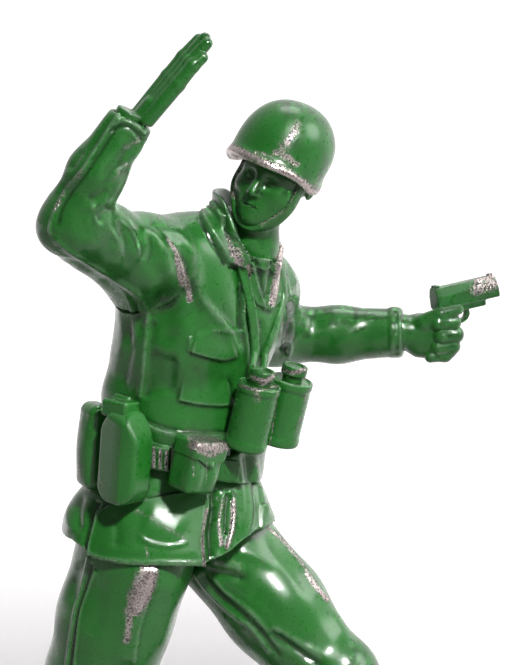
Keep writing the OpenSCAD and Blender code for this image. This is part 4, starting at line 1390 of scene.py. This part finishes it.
worn(["jacket"], [
    ([(230, 248), (236, 253), (238, 259)], 1.25, 0.8),
    ([(231, 255), (235, 259)], 0.7, 1.3),
    ([(226, 240), (234, 244)], 0.7, 0.6),
    ([(248, 268), (246, 276), (243, 284)], 0.65, 1.2),
    ([(244, 268), (246, 270)], 0.5, 0.7),
    ([(278, 246), (279.5, 256), (276, 275), (272, 296), (270.5, 304)], 0.42, 1.4),
    ([(281, 256), (282, 280)], 0.4, 0.5),
    # painted highlight: a glint on the pocket's top edge, made as bare metal
    ([(217, 331), (219, 331)], 0.3, 0.6),
    ([(293, 312), (291, 340), (288, 360)], 0.3, 0.7),
])
for k in ("jacket", "right_sleeve", "left_sleeve"):
    S[k].push()

# ---------------------------------------------------------------- skirt and trousers
K = S["jacket_skirt"]
K.plate([(98, 512), (110, 505), (138, 500), (205, 488), (209, 505), (203, 533), (205, 568), (150, 570), (88, 566), (90, 545)], 0.5, 0.3)
strokes(["jacket_skirt"], [
    ([(104, 502), (95, 524), (90, 544), (89, 566)], 0.35, 0.35, {"tap": 0.05}),
    ([(99, 500), (89, 522), (84, 542), (82, 562)], 0.6, -0.6, {"tap": 0.05}),
    ([(137, 534), (148, 542), (166, 546.5), (189, 543)], 0.4, 0.2, {"tap": 0.2}),
    ([(94, 552), (120, 556), (150, 559), (200, 560)], 0.8, -0.15, {"tap": 0.05}),
    ([(209, 490), (207, 510), (203, 533), (204, 566)], 0.3, 0.4, {"tap": 0.04}),
    ([(213, 488), (213, 510), (210, 533), (212, 562)], 0.7, -0.9, {"tap": 0.04}),
    ([(110, 512), (118, 530), (116, 552)], 0.9, -0.3),
    ([(70, 500), (68, 518), (74, 536)], 0.8, 0.3),
    ([(84, 490), (78, 512), (80, 536)], 0.7, -0.45),
    ([(232, 490), (233, 508), (232, 528), (226, 550)], 0.32, 0.45, {"tap": 0.06}),
    ([(224, 492), (219, 512), (218, 530), (220, 550)], 0.35, 0.3, {"tap": 0.08}),
    ([(228, 492), (226, 512), (225, 536)], 0.4, -0.4, {"tap": 0.1}),
    ([(240, 456), (243, 480), (245, 510), (240, 538)], 1.0, 0.35),
    ([(252, 470), (255, 496), (256, 515), (251, 536)], 0.4, -0.5, {"tap": 0.08}),
    ([(258, 478), (263, 500), (266, 520)], 0.5, 0.35),
])
K.line([(140, 518), (160, 526), (182, 538)], 2.4, 0.45)
K.plate([(260, 505), (268, 504), (275, 516), (272, 528), (260, 530)], 0.45, 0.4)
worn(["jacket_skirt"], [
    ([(206, 510), (203, 530), (202, 548), (204, 564)], 0.35, 0.95),
    ([(233, 500), (232, 526), (227, 547)], 0.5, 1.0),
    ([(222, 505), (219, 525), (222, 545)], 0.4, 0.75),
    ([(217, 498), (226, 502)], 0.6, 0.5),
    # painted highlight: bare-metal speckles make the sparkling highlight on the skirt pocket
    ([(138, 512), (150, 518), (168, 530), (182, 540)], 0.9, 0.42),
    # painted highlight: a small glint below the pocket
    ([(146, 548), (148, 556)], 0.4, 0.5),
    ([(62, 516), (62, 530)], 0.5, 0.4),
])
K.push()
strokes(["right_trousers"], [
    ([(89, 556), (82, 585), (75, 610), (70, 640), (66, 668)], 0.25, 0.3, {"tap": 0.02}),
    ([(96, 570), (88, 590), (80, 612), (77, 640), (74, 668)], 0.3, 0.3, {"tap": 0.03}),
    ([(92, 562), (85, 588), (78, 612), (73.5, 640), (70, 668)], 0.32, -0.32, {"tap": 0.03}),
    ([(158, 564), (154, 584), (146, 606), (138, 630), (131, 668)], 0.5, 0.5, {"kind": "fold", "w2": 3.0, "tap": 0.1}),
    ([(168, 590), (160, 618), (153, 650)], 1.2, -0.2),
    ([(104, 572), (98, 600), (95, 640)], 1.5, -0.25),
    ([(140, 566), (136, 590), (128, 620), (122, 650)], 1.2, 0.3),
    ([(176, 596), (168, 622), (160, 654)], 0.8, 0.25),
    ([(80, 560), (76, 580), (71, 604)], 0.8, -0.3),
])
strokes(["left_trousers"], [
    ([(194, 571), (206, 588), (219, 602), (236, 617), (252, 629), (272, 655)], 0.4, 0.35, {"tap": 0.05}),
    ([(200, 572), (214, 588), (230, 603), (246, 617), (264, 636), (282, 660)], 0.45, -0.3, {"tap": 0.06}),
    ([(206, 570), (224, 590), (244, 606), (262, 624), (276, 644)], 0.5, 0.32),
    ([(200, 567), (216, 572), (234, 575), (252, 581)], 0.9, -0.45),
    ([(206, 560), (226, 564), (246, 572)], 0.9, 0.3),
    ([(268, 629), (288, 643), (310, 658), (330, 668)], 0.7, -0.55),
    ([(262, 622), (284, 634), (306, 648), (328, 660)], 0.8, 0.35),
    ([(262, 524), (282, 540), (300, 562), (318, 588), (332, 604)], 0.6, 0.35, {"tap": 0.06}),
    ([(262, 534), (280, 552), (298, 576), (314, 600)], 1.0, -0.25),
    ([(230, 552), (256, 556), (276, 570)], 1.0, 0.25),
    ([(248, 590), (266, 604), (282, 622)], 1.4, -0.2),
    ([(330, 606), (342, 628), (352, 650)], 0.9, 0.3),
])
worn(["right_trousers"], [
    ([(148, 567), (146, 578), (141, 592), (134, 608)], 1.7, 0.95),
    ([(152, 568), (150, 580), (145, 594), (138, 608)], 0.8, 1.35),
    ([(140, 574), (133, 594), (129, 612)], 1.3, 0.62),
    ([(131, 612), (128, 628), (126, 640)], 0.8, 0.8),
    ([(90, 560), (84, 582)], 0.4, 0.35),
])
worn(["left_trousers"], [
    ([(268, 529), (284, 544), (299, 562), (314, 584), (324, 598)], 0.32, 0.72),
    ([(306, 574), (316, 588), (326, 600)], 0.42, 0.95),
])
for k in ("right_trousers", "left_trousers"):
    S[k].push()

# ---------------------------------------------------------------- belt
B = S["belt"]
B.plate([(150, 445), (170, 448), (169, 471), (150, 467)], 0.5, 0.3)
strokes(["belt"], [
    ([(154, 449), (153, 467)], 0.22, 0.3, {"tap": 0.1}),
    ([(160, 450), (159, 468)], 0.22, 0.3, {"tap": 0.1}),
    ([(166, 451), (165, 469)], 0.22, 0.3, {"tap": 0.1}),
    ([(140, 421), (154, 427), (182, 434), (228, 436)], 0.35, 0.25, {"tap": 0.05}),
    ([(150, 474), (172, 481), (200, 488)], 0.3, 0.2, {"tap": 0.05}),
])
strokes(["belt"], [
    ([(236, 450), (239, 470), (241, 490)], 0.7, 0.35),
    ([(246, 450), (248, 470), (250, 490)], 0.6, -0.4),
    ([(254, 452), (256, 470), (258, 488)], 0.6, 0.35),
])
B.push()
worn(["belt"], [
    # painted highlight: the keeper's bright stripes are glints, made as bare metal
    ([(153.5, 448), (153.5, 466)], 0.34, 1.25),
    ([(160.5, 450), (160, 468)], 0.28, 1.1),
    ([(166.5, 451), (166, 469)], 0.26, 1.1),
    ([(252, 458), (258, 466)], 0.5, 0.5),
])
worn(["barrels"], [
    ([(236, 384), (256, 390), (278, 386)], 0.35, 0.75),
    ([(256, 388), (258, 400)], 0.9, 0.55),
    ([(284, 378), (296, 381), (309, 377)], 0.35, 0.95),
    # painted highlight: thin bright lines along the barrels' right edges
    ([(278, 392), (274, 420), (270, 445)], 0.25, 0.6),
    ([(309, 384), (302, 412), (295, 436)], 0.25, 0.5),
])
worn(["eyepieces"], [
    ([(251, 377), (262, 381), (274, 377)], 0.55, 0.95),
    ([(262, 384), (268, 383)], 0.5, 0.8),
    ([(284, 370), (294, 373), (304, 369)], 0.5, 0.85),
])
worn(["pouch"], [
    ([(192, 437), (208, 438), (227, 439)], 0.8, 1.2),
    ([(194, 445), (210, 448), (227, 446)], 1.2, 1.0),
    ([(196, 449), (211, 455), (226, 448)], 0.6, 0.75),
    ([(192, 456), (194, 476)], 0.35, 0.55),
    ([(207, 462), (206, 484)], 0.25, 0.5),
    ([(227, 455), (224, 478)], 0.3, 0.5),
])
worn(["canteen"], [
    # painted highlight: the bright streak near the canteen's top right, made as bare metal
    ([(128, 424), (131, 436)], 0.4, 0.35),
    ([(101, 420), (99, 470), (104, 494)], 0.3, 0.5),
])
worn(["canteen_cup"], [
    ([(80, 420), (78, 450), (80, 480)], 0.35, 0.5),
])
worn(["pistol"], [
    ([(476, 289), (486, 286), (497, 282)], 1.6, 0.75),
    ([(478, 280), (496, 274)], 0.9, 0.95),
])
worn(["left_hand"], [
    ([(411, 318), (410, 322)], 0.3, 0.5),
])
# helmet: the rim and the top of the brow rub first
H = S["helmet"]
rim = np.exp(-((H.rim - 3) / 7.5) ** 2) * (H.rim >= -4)
frontal = 0.5 + 0.5 * np.cos(H.ang + 0.3)
H.wear_and_glint = np.maximum(H.wear_and_glint, rim * (0.5 + 1.1 * frontal))
worn(["helmet"], [
    ([(297, 126), (292, 136), (286, 144), (281, 153)], 1.5, 0.56),
    ([(294, 132), (288, 142)], 0.9, 0.72),
    ([(276, 152), (288, 158), (296, 164)], 0.9, 0.7),
    ([(240, 151), (256, 152), (272, 157)], 0.5, 0.55),
    ([(318, 176), (316, 188)], 0.5, 0.5),
])
worn(["chin_strap"], [
    ([(244, 158), (238, 178), (233, 196)], 0.9, 0.62),
    ([(300, 182), (284, 206), (262, 222)], 0.9, 0.62),
])


# ---------------------------------------------------------------- hand over to the object
PIECES = [
    ("jacket", "figure", ("torso_front", "torso_back"), ENAMEL, "green_enamel"),
    ("right_sleeve", "right_arm", ("right_sleeve",), ENAMEL, "green_enamel"),
    ("left_sleeve", "left_arm", ("left_sleeve",), ENAMEL, "green_enamel"),
    ("right_hand", "right_hand", ("right_hand",), ENAMEL, "green_enamel"),
    ("left_hand", "left_hand", ("left_hand",), ENAMEL, "green_enamel"),
    ("pistol", "left_hand", ("pistol",), ENAMEL, "green_enamel"),
    ("right_trousers", "figure", ("right_leg",), ENAMEL, "green_enamel"),
    ("left_trousers", "figure", ("left_leg",), ENAMEL, "green_enamel"),
    ("jacket_skirt", "figure", ("jacket_skirt",), ENAMEL, "green_enamel"),
    ("belt", "figure", ("belt",), ENAMEL, "green_enamel"),
    ("head", "head", ("head",), ENAMEL, "green_enamel"),
    ("barrels", "figure", ("binocular_barrels",), ENAMEL, "green_enamel"),
    ("eyepieces", "figure", ("binocular_eyepieces",), WORN, "worn_enamel"),
    ("bridge", "figure", ("binocular_bridge",), ENAMEL, "green_enamel"),
    ("strap", "figure", ("binocular_strap",), ENAMEL, "green_enamel"),
    ("chin_strap", "head", ("chin_strap",), ENAMEL, "green_enamel"),
    ("helmet", "head", ("helmet",), ENAMEL, "green_enamel"),
    ("canteen", "figure", ("canteen_front",), ENAMEL, "green_enamel"),
    ("canteen_cup", "figure", ("canteen_back",), ENAMEL, "green_enamel"),
    ("canteen_flap", "figure", ("canteen_flap",), ENAMEL, "green_enamel"),
    ("pouch", "figure", ("ammo_pouch",), ENAMEL, "green_enamel"),
    ("buckle", "figure", ("belt_buckle",), WORN, "worn_enamel"),
    ("right_boot", "figure", ("right_boot",), ENAMEL, "green_enamel"),
    ("left_boot", "figure", ("left_boot",), ENAMEL, "green_enamel"),
    ("ground", "figure", ("base_plate",), ENAMEL, "green_enamel"),
]
for key, body, nodes, mat, slot in PIECES:
    if key in S:
        make(key + "_form", S[key], body, nodes, mat)
for node in ("torso_dowels", "right_shoulder_pin", "left_shoulder_pin"):
    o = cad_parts[node]
    o.data.materials.clear()
    o.data.materials.append(BARE)

# ---------------------------------------------------------------- studio
floor_me = bpy.data.meshes.new("floor")
floor_me.from_pydata([(-6, -6, 0), (6, -6, 0), (6, 6, 0), (-6, 6, 0)], [], [(0, 1, 2, 3)])
floor = bpy.data.objects.new("floor", floor_me)
bpy.context.scene.collection.objects.link(floor)
fm = bpy.data.materials.new("floor_paper_painted_glow")
fm.use_nodes = True
fb = fm.node_tree.nodes["Principled BSDF"]
fb.inputs["Base Color"].default_value = (0.62, 0.605, 0.61, 1)
fb.inputs["Roughness"].default_value = 0.9
fb.inputs["Specular IOR Level"].default_value = 0.1
# painted light: the floor glows, from nothing at 0.12 m behind the figure to 0.8 at 0.40 m and a little sooner toward
# +x, standing in for a brightly lit backdrop; the near floor is left greyer
fb.inputs["Emission Color"].default_value = (1.0, 0.985, 0.99, 1)
fn, flk = fm.node_tree.nodes, fm.node_tree.links
ftc, fsp = fn.new("ShaderNodeTexCoord"), fn.new("ShaderNodeSeparateXYZ")
fmr = fn.new("ShaderNodeMapRange")
fmr.interpolation_type = "SMOOTHSTEP"
fmr.inputs[1].default_value, fmr.inputs[2].default_value = 0.12, 0.40
fmr.inputs[3].default_value, fmr.inputs[4].default_value = 0.0, 0.8
flk.new(ftc.outputs["Object"], fsp.inputs[0])
fmx = fn.new("ShaderNodeMapRange")
fmx.interpolation_type = "SMOOTHSTEP"
fmx.inputs[1].default_value, fmx.inputs[2].default_value = 0.0, 0.045
fmx.inputs[3].default_value, fmx.inputs[4].default_value = 0.0, 0.16
flk.new(fsp.outputs[0], fmx.inputs[0])
fad = fn.new("ShaderNodeMath")
flk.new(fsp.outputs[1], fad.inputs[0])
flk.new(fmx.outputs[0], fad.inputs[1])
flk.new(fad.outputs[0], fmr.inputs[0])
flk.new(fmr.outputs[0], fb.inputs["Emission Strength"])
floor_me.materials.append(fm)

scene = bpy.context.scene
scene.view_settings.view_transform = "Standard"
scene.view_settings.look = "None"
world = bpy.data.worlds.new("studio")
scene.world = world
world.use_nodes = True
wn, wl = world.node_tree.nodes, world.node_tree.links
bg = wn["Background"]
tcw = wn.new("ShaderNodeTexCoord")
sep = wn.new("ShaderNodeSeparateXYZ")
wl.new(tcw.outputs["Generated"], sep.inputs[0])
mr = wn.new("ShaderNodeMapRange")
mr.interpolation_type = "SMOOTHSTEP"
mr.inputs[1].default_value, mr.inputs[2].default_value = -0.5, 0.8
mr.inputs[3].default_value, mr.inputs[4].default_value = 0.16, 1.0
mx = wn.new("ShaderNodeMapRange")
mx.inputs[1].default_value, mx.inputs[2].default_value = -1.0, 1.0
mx.inputs[3].default_value, mx.inputs[4].default_value = 0.3, 1.5
wl.new(sep.outputs[0], mx.inputs[0])
mul = wn.new("ShaderNodeMath")
mul.operation = "MULTIPLY"
wl.new(mr.outputs[0], mul.inputs[0])
wl.new(mx.outputs[0], mul.inputs[1])
wl.new(sep.outputs[1], mr.inputs[0])
wl.new(mul.outputs[0], bg.inputs["Strength"])
bg.inputs["Color"].default_value = (1.0, 0.985, 0.99, 1)


def lamp(name, direction, dist, size, power, target=(0.0, 0.0, 0.105), spread=180.0):
    la = bpy.data.lights.new(name, "AREA")
    la.shape = "DISK"
    la.size = size
    la.energy = power
    la.spread = math.radians(spread)
    o = bpy.data.objects.new(name, la)
    scene.collection.objects.link(o)
    d = np.array(direction, float) / np.linalg.norm(direction)
    o.location = np.array(target) + d * dist
    z = d
    x = np.cross([0, 0, 1], z)
    x /= np.linalg.norm(x)
    y = np.cross(z, x)
    from mathutils import Matrix
    o.rotation_euler = Matrix(np.stack([x, y, z], 1).tolist()).to_euler()
    return o


lamp("key", (0.33, -0.64, 0.69), 1.1, 0.12, 0.11, (-0.006, -0.008, 0.080), 12.5)
lamp("side", (0.84, -0.10, 0.55), 0.9, 0.5, 3.0)
lamp("top", (0.12, 0.40, 0.9), 0.8, 0.4, 1.2)

cam = bpy.data.cameras.new("camera")
cam.lens = LENS
cam.sensor_width = 36.0
cam.sensor_fit = "AUTO"
cam.clip_end = 50
co = bpy.data.objects.new("camera", cam)
co.location = EYE * 0.001
co.rotation_euler = (math.radians(80), 0, 0)
scene.collection.objects.link(co)
scene.camera = co
